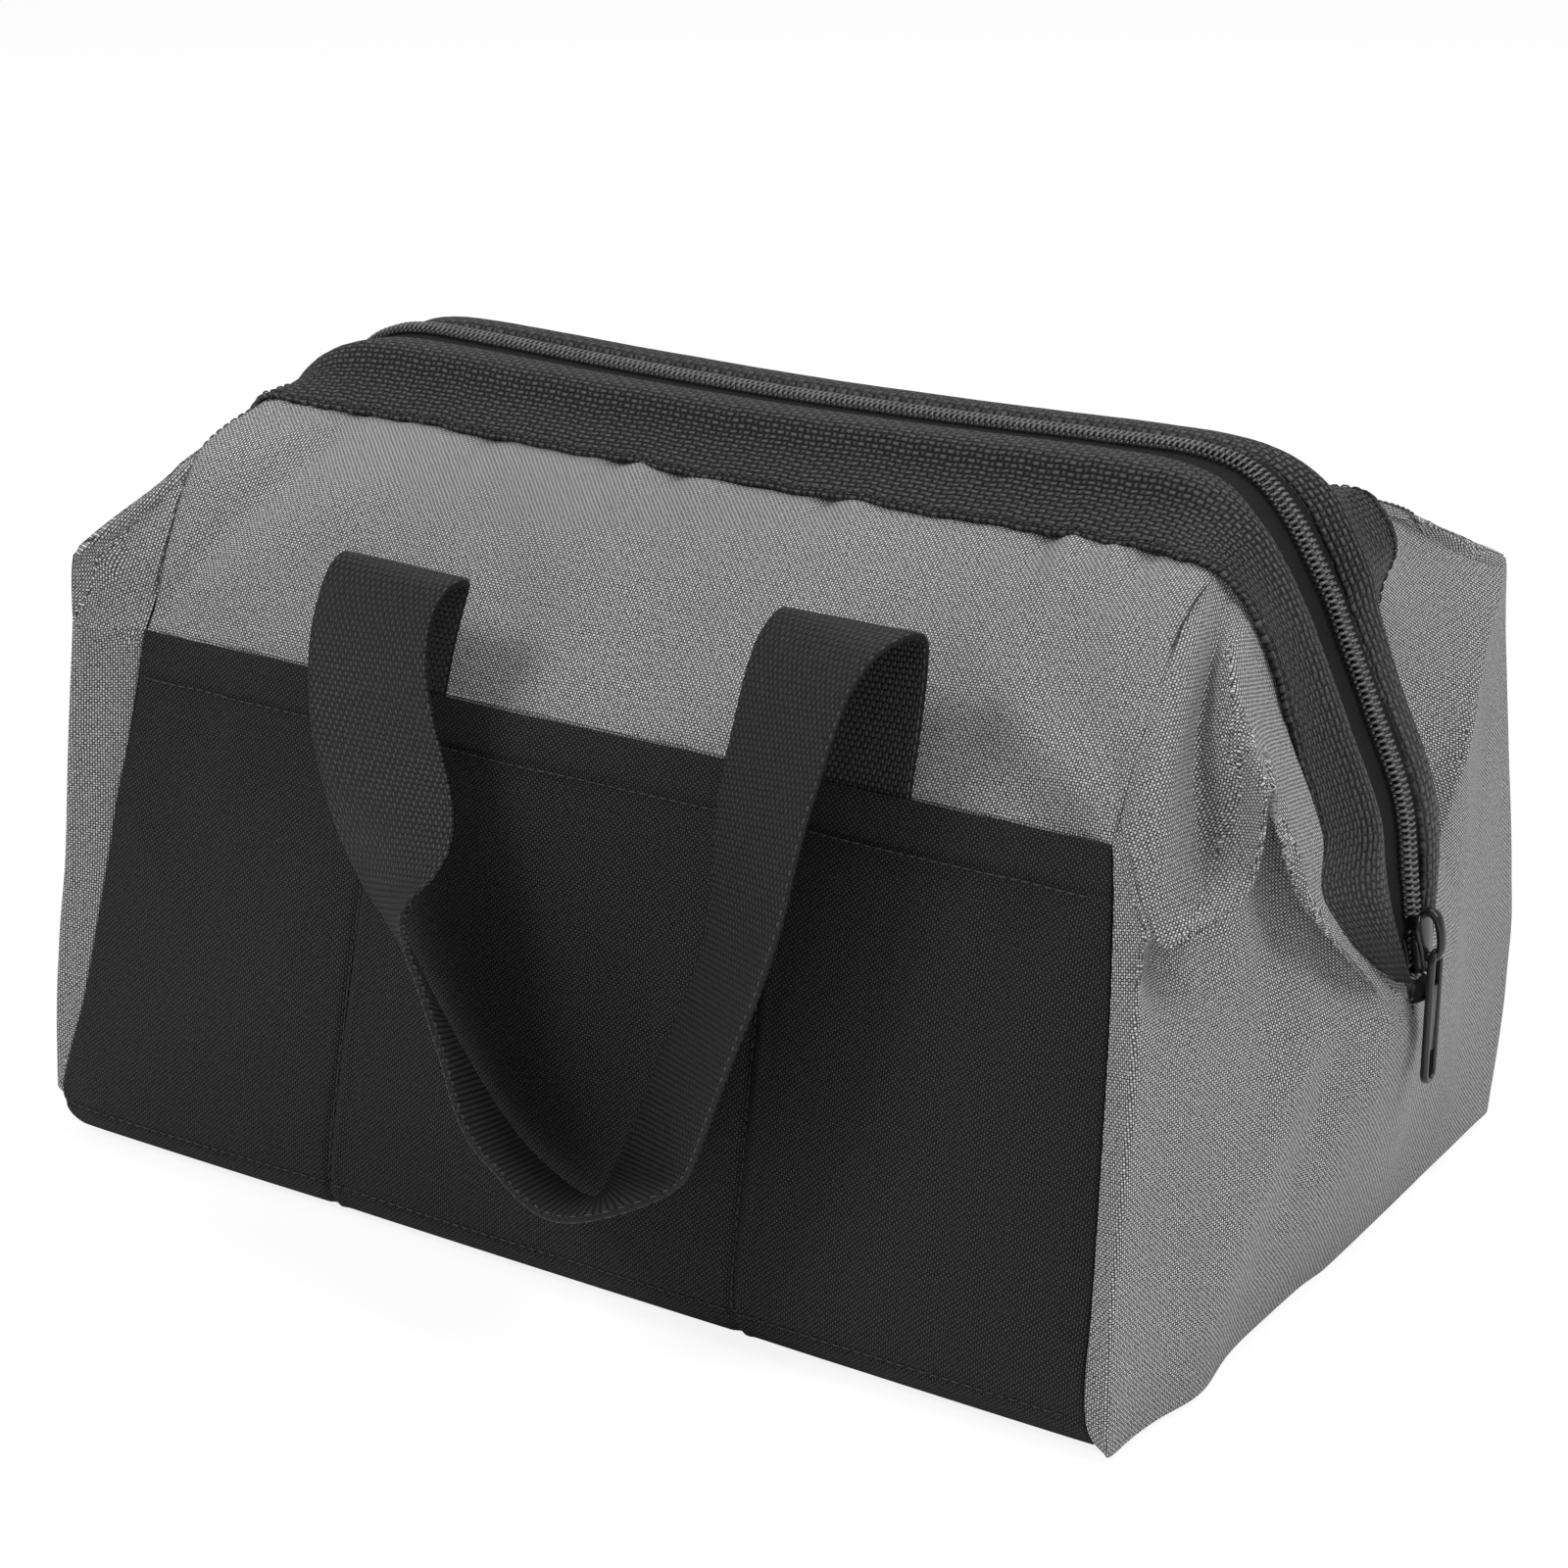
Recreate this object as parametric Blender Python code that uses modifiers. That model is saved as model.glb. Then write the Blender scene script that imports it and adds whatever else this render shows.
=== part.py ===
"""Wide-mouth tool bag of woven polyester, with a U-shaped zipped mouth on two sprung wire frames.

The origin is the middle of the flat base. X runs along the bag, -Y is the front, +Z is up.
The bag is the same from the front and from the back, so most pieces are made for the front
and turned half round about Z for the back. Only the zip's slider sits at one end.
"""
import math

import bmesh
import bpy
from mathutils import Matrix, Vector

# Body of the bag
BASE_LENGTH = 0.320
BASE_DEPTH = 0.220
POCKET_HEIGHT = 0.1400
EAR_HEIGHT = 0.161
HINGE_REACH = 0.181
HINGE_HEIGHT = 0.084
MOUTH_HEIGHT = 0.207
CLOTH = 0.0010
BASE_CLOTH = 0.0012
BOARD = 0.0022
BOARD_INSET = 0.0060
CORNER_RADIUS = 0.014
HEM_HEIGHT = 0.0125
HEM_THICKNESS = 0.0021
SEAM_GAP = 0.0005
EDGE_GAP = 0.0020
CLEARANCE = 0.0003

# Mouth: zip, folded webbing over its edge and the wire in the fold
BAND_REACH = 0.037
BAND_LAYER = 0.0015
WIRE_DIAMETER = 0.0028
WIRE_ROOM = 0.0034
TAPE_REACH = 0.0165
TAPE_THICKNESS = 0.0008
COIL_WIDTH = 0.0031
COIL_HEIGHT = 0.0020
CHAIN_GAP = 0.00015
TAPE_FOOT_GAP = 0.0023
FOOT_REACH = 0.0040
END_TACK_WIDTH = 0.0074
END_TACK_HEIGHT = 0.0096
END_TACK_THICKNESS = 0.0034
END_TACK_RIDGE = 0.0020

# Slider and its pull
SLIDER_LENGTH = 0.0095
SLIDER_WIDTH = 0.0086
SLIDER_PLATE = 0.0013
SLIDER_FLANGE = 0.0008
SLIDER_POST = 0.0034
SLIDER_POST_LENGTH = 0.0026
SLIDER_RISE = 0.0088
CROWN_LENGTH = 0.0074
CROWN_HEIGHT = 0.0052
CROWN_WIRE = 0.0016
PULL_LENGTH = 0.0300
PULL_WIDTH = 0.0062
PULL_THICKNESS = 0.0016
PULL_RIM = 0.0013
PULL_SLOT = 0.0052
PULL_PLATE_LENGTH = 0.0115
PULL_PLATE_THICKNESS = 0.0010
PULL_EYE = 0.0085

# Handles: webbing sewn behind the pocket hem, folded over at the top and hanging in a loop
WEBBING_WIDTH = 0.038
WEBBING_THICKNESS = 0.0018
FOLD_HEIGHT = 0.168
FOLD_OFFSET = 0.091
FOLD_RADIUS = 0.0065
HANDLE_SPREAD = 0.120

# Shares of half the base's length, half its depth and the height of the ear, up the corner crease
CREASE_SHARES = ((1.000, 1.000, 0.009), (0.993, 1.016, 0.124), (0.977, 0.925, 0.416),
                 (0.966, 0.843, 0.714), (0.970, 0.868, 0.880))
EAR_SHARES = (0.975, 0.909, 1.000)
# Rows of the mouth's end that the ear's cloth hangs from, and the places below them on the
# ridge that runs from the ear's tip to the hinge
EAR_ROWS = (5, 6.5, 8, 9, 9.75, 10, 10.25, 10.5, 10.75)
RIDGE_SHARES = (0.00, 0.16, 0.34, 0.48)
EAR_LEVEL_SHARES = (0.33, 0.67, 1.00)
END_STEPS = 4
# Depth of the pocket wall, as shares of half the base's depth, at shares of the pockets' height
WALL_SHARES = ((0.000, 1.000), (0.090, 1.014), (0.290, 0.982), (0.610, 0.914), (1.000, 0.805))
# Place of the side seam, as shares of half the base's length, at shares of the mouth's height
SEAM_SHARES = ((0.000, 0.985), (0.100, 0.956), (0.400, 0.925), (0.680, 0.890), (0.920, 0.875))
# End panel, halfway to its middle and at its middle: reach and depth as shares of the hinge's
# reach and half the base's depth, height as a share of the hinge's height
END_HALF_SHARES = ((0.884, 0.500, 0.018), (0.906, 0.510, 0.240), (0.930, 0.490, 0.560),
                   (0.938, 0.475, 0.820), (0.936, 0.460, 1.020))
END_MIDDLE_SHARES = ((0.884, 0.000, 0.018), (0.930, 0.000, 0.240), (0.980, 0.000, 0.600),
                     (0.998, 0.000, 0.800), (0.995, 0.000, 0.895))
# Run of the zip from the middle of the mouth down one end. Each row holds the zip's reach and
# height, then the reach, depth and height of the webbing's outer edge there, as shares of the
# hinge's reach, the band's reach and the mouth's rise above the hinge
MOUTH_SHARES = (
    (0.000, 0.9933, 0.000, 0.850, 0.8519),
    (0.276, 0.9983, 0.276, 0.850, 0.8570),
    (0.525, 1.0084, 0.525, 0.865, 0.8620),
    (0.652, 1.0050, 0.648, 0.890, 0.8654),
    (0.729, 0.9714, 0.718, 0.945, 0.8670),
    (0.784, 0.8906, 0.779, 0.985, 0.8570),
    (0.834, 0.7644, 0.840, 1.000, 0.7644),
    (0.865, 0.6735, 0.868, 1.000, 0.6668),
    (0.909, 0.5456, 0.892, 1.000, 0.5372),
    (0.961, 0.3740, 0.922, 1.000, 0.3740),
    (0.980, 0.2124, 0.936, 1.000, 0.2343),
    (1.001, 0.0323, 0.990, 0.250, 0.0525),
)
# Lie of the hanging handle: place along the bag as a share of the handle's spread, depth as a
# share of half the base's depth, height as a share of the fold's height, and the webbing's turn
HANDLE_SHARES = (
    (-0.467, 0.886, 0.997, 0), (-0.466, 0.890, 0.953, 0), (-0.445, 0.955, 0.909, 0), (-0.398, 1.000, 0.816, 0),
    (-0.350, 1.023, 0.724, 2), (-0.312, 1.050, 0.648, 15), (-0.283, 1.091, 0.585, 38),
    (-0.242, 1.114, 0.515, 51), (-0.125, 1.145, 0.388, 58), (0.011, 1.185, 0.280, 63),
    (0.167, 1.191, 0.222, 59), (0.283, 1.141, 0.227, 42), (0.347, 1.082, 0.307, 26),
    (0.417, 1.055, 0.461, 25), (0.475, 1.009, 0.600, 27), (0.492, 0.955, 0.739, 25),
    (0.530, 0.902, 0.890, 9), (0.562, 0.888, 0.950, 1), (0.567, 0.886, 0.997, 0),
)
RISER_LEAN_SHARES = ((-0.475, -0.467), (0.575, 0.567))

HALF_LENGTH = BASE_LENGTH / 2
HALF_DEPTH = BASE_DEPTH / 2
SHEET_LEVELS = 1
SWEEP_STEPS = 4
WIRE_STOP = 2 * SWEEP_STEPS - 1
HALF_TURN = Matrix.Rotation(math.pi, 4, "Z")
MIRROR_X = Matrix.Scale(-1, 4, Vector((1, 0, 0)))

GREY = (0.33, 0.33, 0.33, 1)
BLACK = (0.022, 0.022, 0.023, 1)
STEEL = (0.45, 0.45, 0.46, 1)


def clear_scene():
    for found in list(bpy.data.objects):
        bpy.data.objects.remove(found, do_unlink=True)


def make_collection(name):
    group = bpy.data.collections.new(name)
    bpy.context.scene.collection.children.link(group)
    return group


def make_material(name, colour, roughness, metallic=0.0):
    material = bpy.data.materials.new(name)
    material.use_nodes = True
    shader = material.node_tree.nodes["Principled BSDF"]
    shader.inputs["Base Color"].default_value = colour
    shader.inputs["Roughness"].default_value = roughness
    shader.inputs["Metallic"].default_value = metallic
    return material


clear_scene()
BAG = make_collection("tool_bag")
CUTTERS = make_collection("cutters")


def add_mesh(name, mesh_data, material, group=BAG):
    """Put a bmesh into the scene as one named object."""
    mesh = bpy.data.meshes.new(name)
    mesh_data.to_mesh(mesh)
    mesh_data.free()
    made = bpy.data.objects.new(name, mesh)
    group.objects.link(made)
    if material:
        mesh.materials.append(material)
    return made


def read_shares(table, at):
    """Value of a table of (place, value) shares, straight between its rows."""
    for (low, first), (high, second) in zip(table, table[1:]):
        if at <= high:
            return first + (second - first) * (at - low) / (high - low)
    return table[-1][1]


def smooth_run(rows, steps):
    """Points of a smooth curve through the given rows of numbers."""
    padded = [rows[0]] + list(rows) + [rows[-1]]
    run = []
    for before, start, end, after in zip(padded, padded[1:], padded[2:], padded[3:]):
        for step in range(steps):
            t = step / steps
            run.append([
                0.5 * (2 * b + (c - a) * t + (2 * a - 5 * b + 4 * c - d) * t * t + (3 * b - a - 3 * c + d) * t ** 3)
                for a, b, c, d in zip(before, start, end, after)
            ])
    run.append(list(rows[-1]))
    return run


def wall_depth(height):
    """Depth of the front wall's outer face: the pocket wall, then the slope up to the mouth."""
    if height <= POCKET_HEIGHT:
        return HALF_DEPTH * read_shares(WALL_SHARES, height / POCKET_HEIGHT)
    edge = mouth_row(0)
    share = (height - POCKET_HEIGHT) / (edge["outer"].z - POCKET_HEIGHT)
    return HALF_DEPTH * WALL_SHARES[-1][1] * (1 - share) - edge["outer"].y * share


def seam_reach(height):
    return HALF_LENGTH * read_shares(SEAM_SHARES, height / MOUTH_HEIGHT)


def mouth_row(index):
    """Zip centre and outer edge of the front webbing at one row of the mouth's run."""
    reach, height, edge_reach, edge_depth, edge_height = MOUTH_SHARES[index]
    rise = MOUTH_HEIGHT - HINGE_HEIGHT
    return {
        "centre": Vector((HINGE_REACH * reach, 0, HINGE_HEIGHT + rise * height)),
        "outer": Vector((HINGE_REACH * edge_reach, -BAND_REACH * edge_depth, HINGE_HEIGHT + rise * edge_height)),
    }


def mouth_stations():
    """Stations along the whole mouth from the left foot over the top to the right foot."""
    rows = []
    for index in range(len(MOUTH_SHARES)):
        row = mouth_row(index)
        reach = FOOT_REACH if index == len(MOUTH_SHARES) - 1 else TAPE_REACH
        rows.append([*row["centre"], *row["outer"], reach])
    left = [[-row[0], row[1], row[2], -row[3], row[4], row[5], row[6]] for row in rows[:0:-1]]
    run = smooth_run(left + rows, SWEEP_STEPS)
    stations = []
    for index, row in enumerate(run):
        ahead = Vector(run[min(index + 1, len(run) - 1)][:3])
        behind = Vector(run[max(index - 1, 0)][:3])
        along = (ahead - behind).normalized()
        stations.append({
            "centre": Vector(row[:3]),
            "along": along,
            "out": Vector((-along.z, 0, along.x)),
            "outer": Vector(row[3:6]),
            "reach": row[6],
        })
    return stations


STATIONS = mouth_stations()


def sweep(name, sections, material):
    """Closed solid through a row of like polygons, with flat ends."""
    data = bmesh.new()
    rings = [[data.verts.new(point) for point in section] for section in sections]
    count = len(rings[0])
    for ring, following in zip(rings, rings[1:]):
        for corner in range(count):
            other = (corner + 1) % count
            data.faces.new((ring[corner], ring[other], following[other], following[corner]))
    data.faces.new(list(reversed(rings[0])))
    data.faces.new(rings[-1])
    bmesh.ops.recalc_face_normals(data, faces=data.faces)
    return add_mesh(name, data, material)


def sheet(name, rows, material, thickness=CLOTH, levels=SHEET_LEVELS, even=True):
    """Cloth sheet from a coarse grid of points on its outer face, thickened inwards."""
    data = bmesh.new()
    grid = [[data.verts.new(point) for point in row] for row in rows]
    for lower, upper in zip(grid, grid[1:]):
        for column in range(len(lower) - 1):
            data.faces.new((lower[column], lower[column + 1], upper[column + 1], upper[column]))
    made = add_mesh(name, data, material)
    if levels:
        soft = made.modifiers.new("soft", "SUBSURF")
        soft.levels = levels
        soft.render_levels = levels
        soft.boundary_smooth = "PRESERVE_CORNERS"
    thick = made.modifiers.new("thick", "SOLIDIFY")
    thick.thickness = thickness
    thick.offset = -1
    thick.use_even_offset = even
    made.data.shade_smooth()
    return made


def moved_copy(source, name, matrix):
    """Copy of an object with its mesh carried through a matrix, faces kept outwards."""
    mesh = source.data.copy()
    mesh.transform(matrix)
    if matrix.determinant() < 0:
        mesh.flip_normals()
    made = bpy.data.objects.new(name, mesh)
    BAG.objects.link(made)
    for old in source.modifiers:
        new = made.modifiers.new(old.name, old.type)
        if old.type == "SUBSURF":
            new.levels = old.levels
            new.render_levels = old.render_levels
            new.boundary_smooth = old.boundary_smooth
        if old.type == "SOLIDIFY":
            new.thickness = old.thickness
            new.offset = old.offset
            new.use_even_offset = old.use_even_offset
    return made


def add_box(data, centre, size, turn=Matrix.Identity(3)):
    """Box in a bmesh, with its own axes turned by a matrix."""
    place = Matrix.Translation(centre) @ turn.to_4x4() @ Matrix.Diagonal((*size, 1))
    return bmesh.ops.create_cube(data, size=1, matrix=place)["verts"]


def union_all(name, parts, material):
    """One body from several overlapping closed objects."""
    first = parts[0]
    for other in parts[1:]:
        join = first.modifiers.new("join", "BOOLEAN")
        join.operation = "UNION"
        join.object = other
        other.hide_render = True
        other.display_type = "WIRE"
    first.name = name
    first.data.name = name
    first.data.materials.clear()
    first.data.materials.append(material)
    return first


# Flat base: its cloth and the stiff board that lies on it inside

def rounded_plate(name, length, depth, radius, low, thickness, material):
    data = bmesh.new()
    steps = 6
    ring = []
    for quarter, (side, end) in enumerate(((1, 1), (-1, 1), (-1, -1), (1, -1))):
        for step in range(steps + 1):
            angle = math.pi / 2 * (quarter + step / steps)
            centre = Vector((side * (length / 2 - radius), end * (depth / 2 - radius), low))
            ring.append(data.verts.new(centre + Vector((math.cos(angle), math.sin(angle), 0)) * radius))
    face = data.faces.new(ring)
    grown = bmesh.ops.extrude_face_region(data, geom=[face])["geom"]
    top = [item for item in grown if isinstance(item, bmesh.types.BMVert)]
    bmesh.ops.translate(data, verts=top, vec=(0, 0, thickness))
    bmesh.ops.recalc_face_normals(data, faces=data.faces)
    return add_mesh(name, data, material)


def make_base():
    black = make_material("base_cloth", BLACK, 0.9)
    board = make_material("base_board_plastic", (0.03, 0.03, 0.03, 1), 0.6)
    rounded_plate("bottom_panel", BASE_LENGTH, BASE_DEPTH, CORNER_RADIUS, 0, BASE_CLOTH, black)
    rounded_plate("base_board", BASE_LENGTH - 2 * BOARD_INSET, BASE_DEPTH - 2 * BOARD_INSET,
                  CORNER_RADIUS, BASE_CLOTH + CLEARANCE, BOARD, board)


# Walls: grey panel, black pocket panel in front of it and the pockets' hem

WALL_FOOT = BASE_CLOTH + CLEARANCE
PANEL_COLUMNS = (-1.0, -0.7, -0.35, 0.0, 0.35, 0.7, 1.0)


def wall_rows(heights, setback, side_gap):
    rows = []
    for height in heights:
        reach = seam_reach(height) - side_gap
        rows.append([Vector((share * reach, -(wall_depth(height) - setback), height)) for share in PANEL_COLUMNS])
    return rows


def spread(low, high, count):
    return [low + (high - low) * step / (count - 1) for step in range(count)]


def make_walls():
    grey = make_material("grey_oxford", GREY, 0.9)
    black = make_material("black_oxford", BLACK, 0.9)
    hem_foot = POCKET_HEIGHT - HEM_HEIGHT
    setback = CLOTH + CLEARANCE
    inner = sheet("front_panel", wall_rows(spread(WALL_FOOT, POCKET_HEIGHT, 6), setback, SEAM_GAP), grey)
    pocket = sheet("front_pocket_panel",
                   wall_rows(spread(WALL_FOOT, hem_foot - CLEARANCE, 6), 0, SEAM_GAP), black)
    hem = sheet("front_pocket_hem", wall_rows(spread(hem_foot, POCKET_HEIGHT, 3), -(HEM_THICKNESS - CLOTH), SEAM_GAP),
                black, HEM_THICKNESS)
    for source, name in ((inner, "back_panel"), (pocket, "back_pocket_panel"), (hem, "back_pocket_hem")):
        moved_copy(source, name, HALF_TURN)


# Ends: a grey panel round each end, with the corner creases and the ears above them

def crease_point(shares):
    return Vector((HALF_LENGTH * shares[0], -HALF_DEPTH * shares[1], EAR_HEIGHT * shares[2]))


def end_point(shares):
    return Vector((HINGE_REACH * shares[0], -HALF_DEPTH * shares[1], HINGE_HEIGHT * shares[2]))


def mirror_depth(point):
    return Vector((point.x, -point.y, point.z))


def end_level(level):
    """Row of points round the right end at one level: front seam, corner, middle, back seam."""
    height = WALL_FOOT + (POCKET_HEIGHT - WALL_FOOT) * level / (len(CREASE_SHARES) - 1)
    seam = Vector((seam_reach(height) + SEAM_GAP, -wall_depth(height), height))
    corner, half, middle = (crease_point(CREASE_SHARES[level]), end_point(END_HALF_SHARES[level]),
                            end_point(END_MIDDLE_SHARES[level]))
    for point in (corner, half, middle):
        point.z = max(point.z, WALL_FOOT)
    across = smooth_run([list(corner), list(half), list(middle), list(mirror_depth(half)),
                         list(mirror_depth(corner))], END_STEPS)
    front = [seam, seam.lerp(corner, 0.5)]
    return [list(point) for point in front] + across + [list(mirror_depth(point)) for point in reversed(front)]


def make_ends():
    grey = make_material("grey_oxford_end", GREY, 0.9)
    levels = [end_level(level) for level in range(len(CREASE_SHARES))]
    columns = [smooth_run(list(column), 2) for column in zip(*levels)]
    rows = [[Vector(point) for point in row] for row in zip(*columns)]
    right = sheet("right_end_panel", rows, grey, levels=0)
    moved_copy(right, "left_end_panel", HALF_TURN)
    return rows[-1]


def mouth_edge(row):
    """Point just below the webbing's outer edge, at a row of the mouth's run or between two."""
    station = STATIONS[(len(MOUTH_SHARES) - 1) * SWEEP_STEPS + round(row * SWEEP_STEPS)]
    down = band_axes(station)[1]
    return station["outer"] + (down + station["along"]) * EDGE_GAP


def make_ears(rim):
    """Loose cloth between the end panel's rim, the ear's tip and the mouth's webbing."""
    grey = make_material("grey_oxford_ear", GREY, 0.9)
    ear = Vector((HALF_LENGTH * EAR_SHARES[0], -HALF_DEPTH * EAR_SHARES[1], EAR_HEIGHT * EAR_SHARES[2]))
    hinge = Vector((HINGE_REACH, 0, HINGE_HEIGHT))
    edges = [mouth_edge(row) for row in EAR_ROWS]
    foot = []
    for before, point, after in zip(rim[:1] + rim, rim, rim[1:len(EAR_ROWS) + 3]):
        along = (after - before).normalized()
        across = Vector((0, 0, 1)) - along * along.z
        foot.append(point + across.normalized() * 2 * SEAM_GAP)
    inner_depth = -END_TACK_WIDTH / 2 - SEAM_GAP
    foot[-1] = foot[-1].lerp(foot[-2], (inner_depth - foot[-1].y) / (foot[-2].y - foot[-1].y))
    ridge = [ear.lerp(hinge, share) for share in RIDGE_SHARES]
    beyond = len(RIDGE_SHARES)
    ridge += [low.lerp(high, 0.5) for low, high in zip(foot[beyond + 2:], edges[beyond:])]
    seam_top = edges[0] - Vector((edges[0].x - seam_reach(edges[0].z) - SEAM_GAP, 0, 0))
    seam_middle = foot[0].lerp(seam_top, 0.5)
    ridge = [seam_middle, seam_middle.lerp(ridge[0], 0.5)] + ridge
    top = [seam_top, seam_top.lerp(edges[0], 0.5)] + edges
    rows = [foot, ridge]
    rows += [[low.lerp(high, share) for low, high in zip(ridge, top)] for share in EAR_LEVEL_SHARES]
    right = sheet("right_front_ear", rows, grey, levels=0, even=False)
    moved_copy(right, "left_front_ear", MIRROR_X)
    moved_copy(right, "left_back_ear", HALF_TURN)
    moved_copy(right, "right_back_ear", HALF_TURN @ MIRROR_X)


def webbing_edge(reach):
    """Lower edge of the front webbing over a point along the top of the mouth."""
    rows = [mouth_row(index)["outer"] for index in range(len(MOUTH_SHARES) // 2)]
    for near, far in zip(rows, rows[1:]):
        if abs(reach) <= far.x:
            return near.lerp(far, (abs(reach) - near.x) / (far.x - near.x))
    return rows[-1]


def make_slopes():
    """Grey cloth from the pockets' hem up to the webbing of the mouth."""
    grey = make_material("grey_oxford_slope", GREY, 0.9)
    setback = CLOTH + CLEARANCE
    levels = 4
    foot_height = POCKET_HEIGHT + SEAM_GAP
    top_reach = seam_reach(mouth_row(0)["outer"].z) - SEAM_GAP
    foot_reach = seam_reach(foot_height) - SEAM_GAP
    rows = []
    for level in range(levels):
        row = []
        for share in PANEL_COLUMNS:
            foot = Vector((share * foot_reach, setback - wall_depth(foot_height), foot_height))
            edge = webbing_edge(share * top_reach)
            top = Vector((share * top_reach, edge.y, edge.z - 2 * SEAM_GAP - setback / 2))
            row.append(foot.lerp(top, level / (levels - 1)))
        rows.append(row)
    front = sheet("front_slope", rows, grey)
    moved_copy(front, "back_slope", HALF_TURN)


# Mouth: folded webbing, wire, zip tape and coil on each side

def band_axes(station):
    """Upper edge, direction down the band and its outward direction, at a station."""
    upper = station["centre"] + Vector((0, -station["reach"], 0))
    down = station["outer"] - upper
    width = down.length
    down.normalize()
    out = down.cross(station["along"])
    out.normalize()
    return upper, down, out, width


def make_bands():
    webbing = make_material("mouth_webbing", BLACK, 0.85)
    steel = make_material("frame_steel", STEEL, 0.35, 1.0)
    inner_share = 0.75
    sections = []
    wire_path = []
    for index, station in enumerate(STATIONS):
        upper, down, out, width = band_axes(station)
        to_end = min(index, len(STATIONS) - 1 - index)
        room = WIRE_ROOM - (WIRE_ROOM - CLEARANCE) * max(0, 1 - to_end / WIRE_STOP)
        reach = width * inner_share
        outline = (
            (0, 0), (width, 0), (width, -BAND_LAYER), (BAND_LAYER, -BAND_LAYER),
            (BAND_LAYER, -BAND_LAYER - room), (reach, -BAND_LAYER - room),
            (reach, -2 * BAND_LAYER - room), (0, -2 * BAND_LAYER - room),
        )
        sections.append([upper + down * a + out * b for a, b in outline])
        if index % 2 == 0 and WIRE_STOP <= index < len(STATIONS) - WIRE_STOP:
            seat = BAND_LAYER + CLEARANCE + WIRE_DIAMETER / 2
            wire_path.append(upper + down * seat - out * (BAND_LAYER + WIRE_ROOM / 2))
    band = sweep("front_mouth_webbing", sections, webbing)
    moved_copy(band, "back_mouth_webbing", HALF_TURN)
    wire = make_tube("front_frame_wire", wire_path, WIRE_DIAMETER, steel)
    moved_copy(wire, "back_frame_wire", HALF_TURN)


def make_tube(name, path, diameter, material):
    """Round wire along a path, as a closed mesh."""
    curve = bpy.data.curves.new(name, "CURVE")
    curve.dimensions = "3D"
    curve.bevel_depth = diameter / 2
    curve.bevel_resolution = 2
    curve.use_fill_caps = True
    run = curve.splines.new("POLY")
    run.points.add(len(path) - 1)
    for point, place in zip(run.points, path):
        point.co = (*place, 1)
    guide = bpy.data.objects.new(name + "_guide", curve)
    CUTTERS.objects.link(guide)
    bpy.context.view_layer.update()
    mesh = bpy.data.meshes.new_from_object(guide.evaluated_get(bpy.context.evaluated_depsgraph_get()))
    bpy.data.objects.remove(guide, do_unlink=True)
    data = bmesh.new()
    data.from_mesh(mesh)
    bmesh.ops.remove_doubles(data, verts=data.verts, dist=diameter / 100)
    bmesh.ops.recalc_face_normals(data, faces=data.faces)
    bpy.data.meshes.remove(mesh)
    made = add_mesh(name, data, material)
    made.data.shade_smooth()
    return made


def make_zip():
    tape_material = make_material("zip_tape_cloth", BLACK, 0.9)
    coil_material = make_material("zip_coil_nylon", BLACK, 0.5)
    tape_sections = []
    coil_sections = []
    foot_rows = SWEEP_STEPS
    for index, station in enumerate(STATIONS):
        centre, out = station["centre"], station["out"]
        to_end = min(index, len(STATIONS) - 1 - index)
        inner = TAPE_FOOT_GAP if to_end < foot_rows else CHAIN_GAP
        top = -COIL_HEIGHT - CLEARANCE
        face = band_axes(station)[2]
        tuck = (top - TAPE_THICKNESS) / face.dot(out) * face.y
        outer = station["reach"] - tuck - CLEARANCE
        tape = ((inner, top), (outer, top), (outer, top - TAPE_THICKNESS), (inner, top - TAPE_THICKNESS))
        tape_sections.append([centre + Vector((0, -y, 0)) + out * n for y, n in tape])
        if to_end >= foot_rows:
            low, high = CHAIN_GAP, CHAIN_GAP + COIL_WIDTH
            lip_share = 0.25
            lip = COIL_WIDTH * lip_share
            coil = ((low, -COIL_HEIGHT), (low, -lip), (low + lip, 0), (high - lip, 0), (high, -lip), (high, -COIL_HEIGHT))
            coil_sections.append([centre + Vector((0, -y, 0)) + out * n for y, n in coil])
    tape = sweep("front_zip_tape", tape_sections, tape_material)
    coil = sweep("front_zip_coil", coil_sections, coil_material)
    moved_copy(tape, "back_zip_tape", HALF_TURN)
    moved_copy(coil, "back_zip_coil", HALF_TURN)


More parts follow.
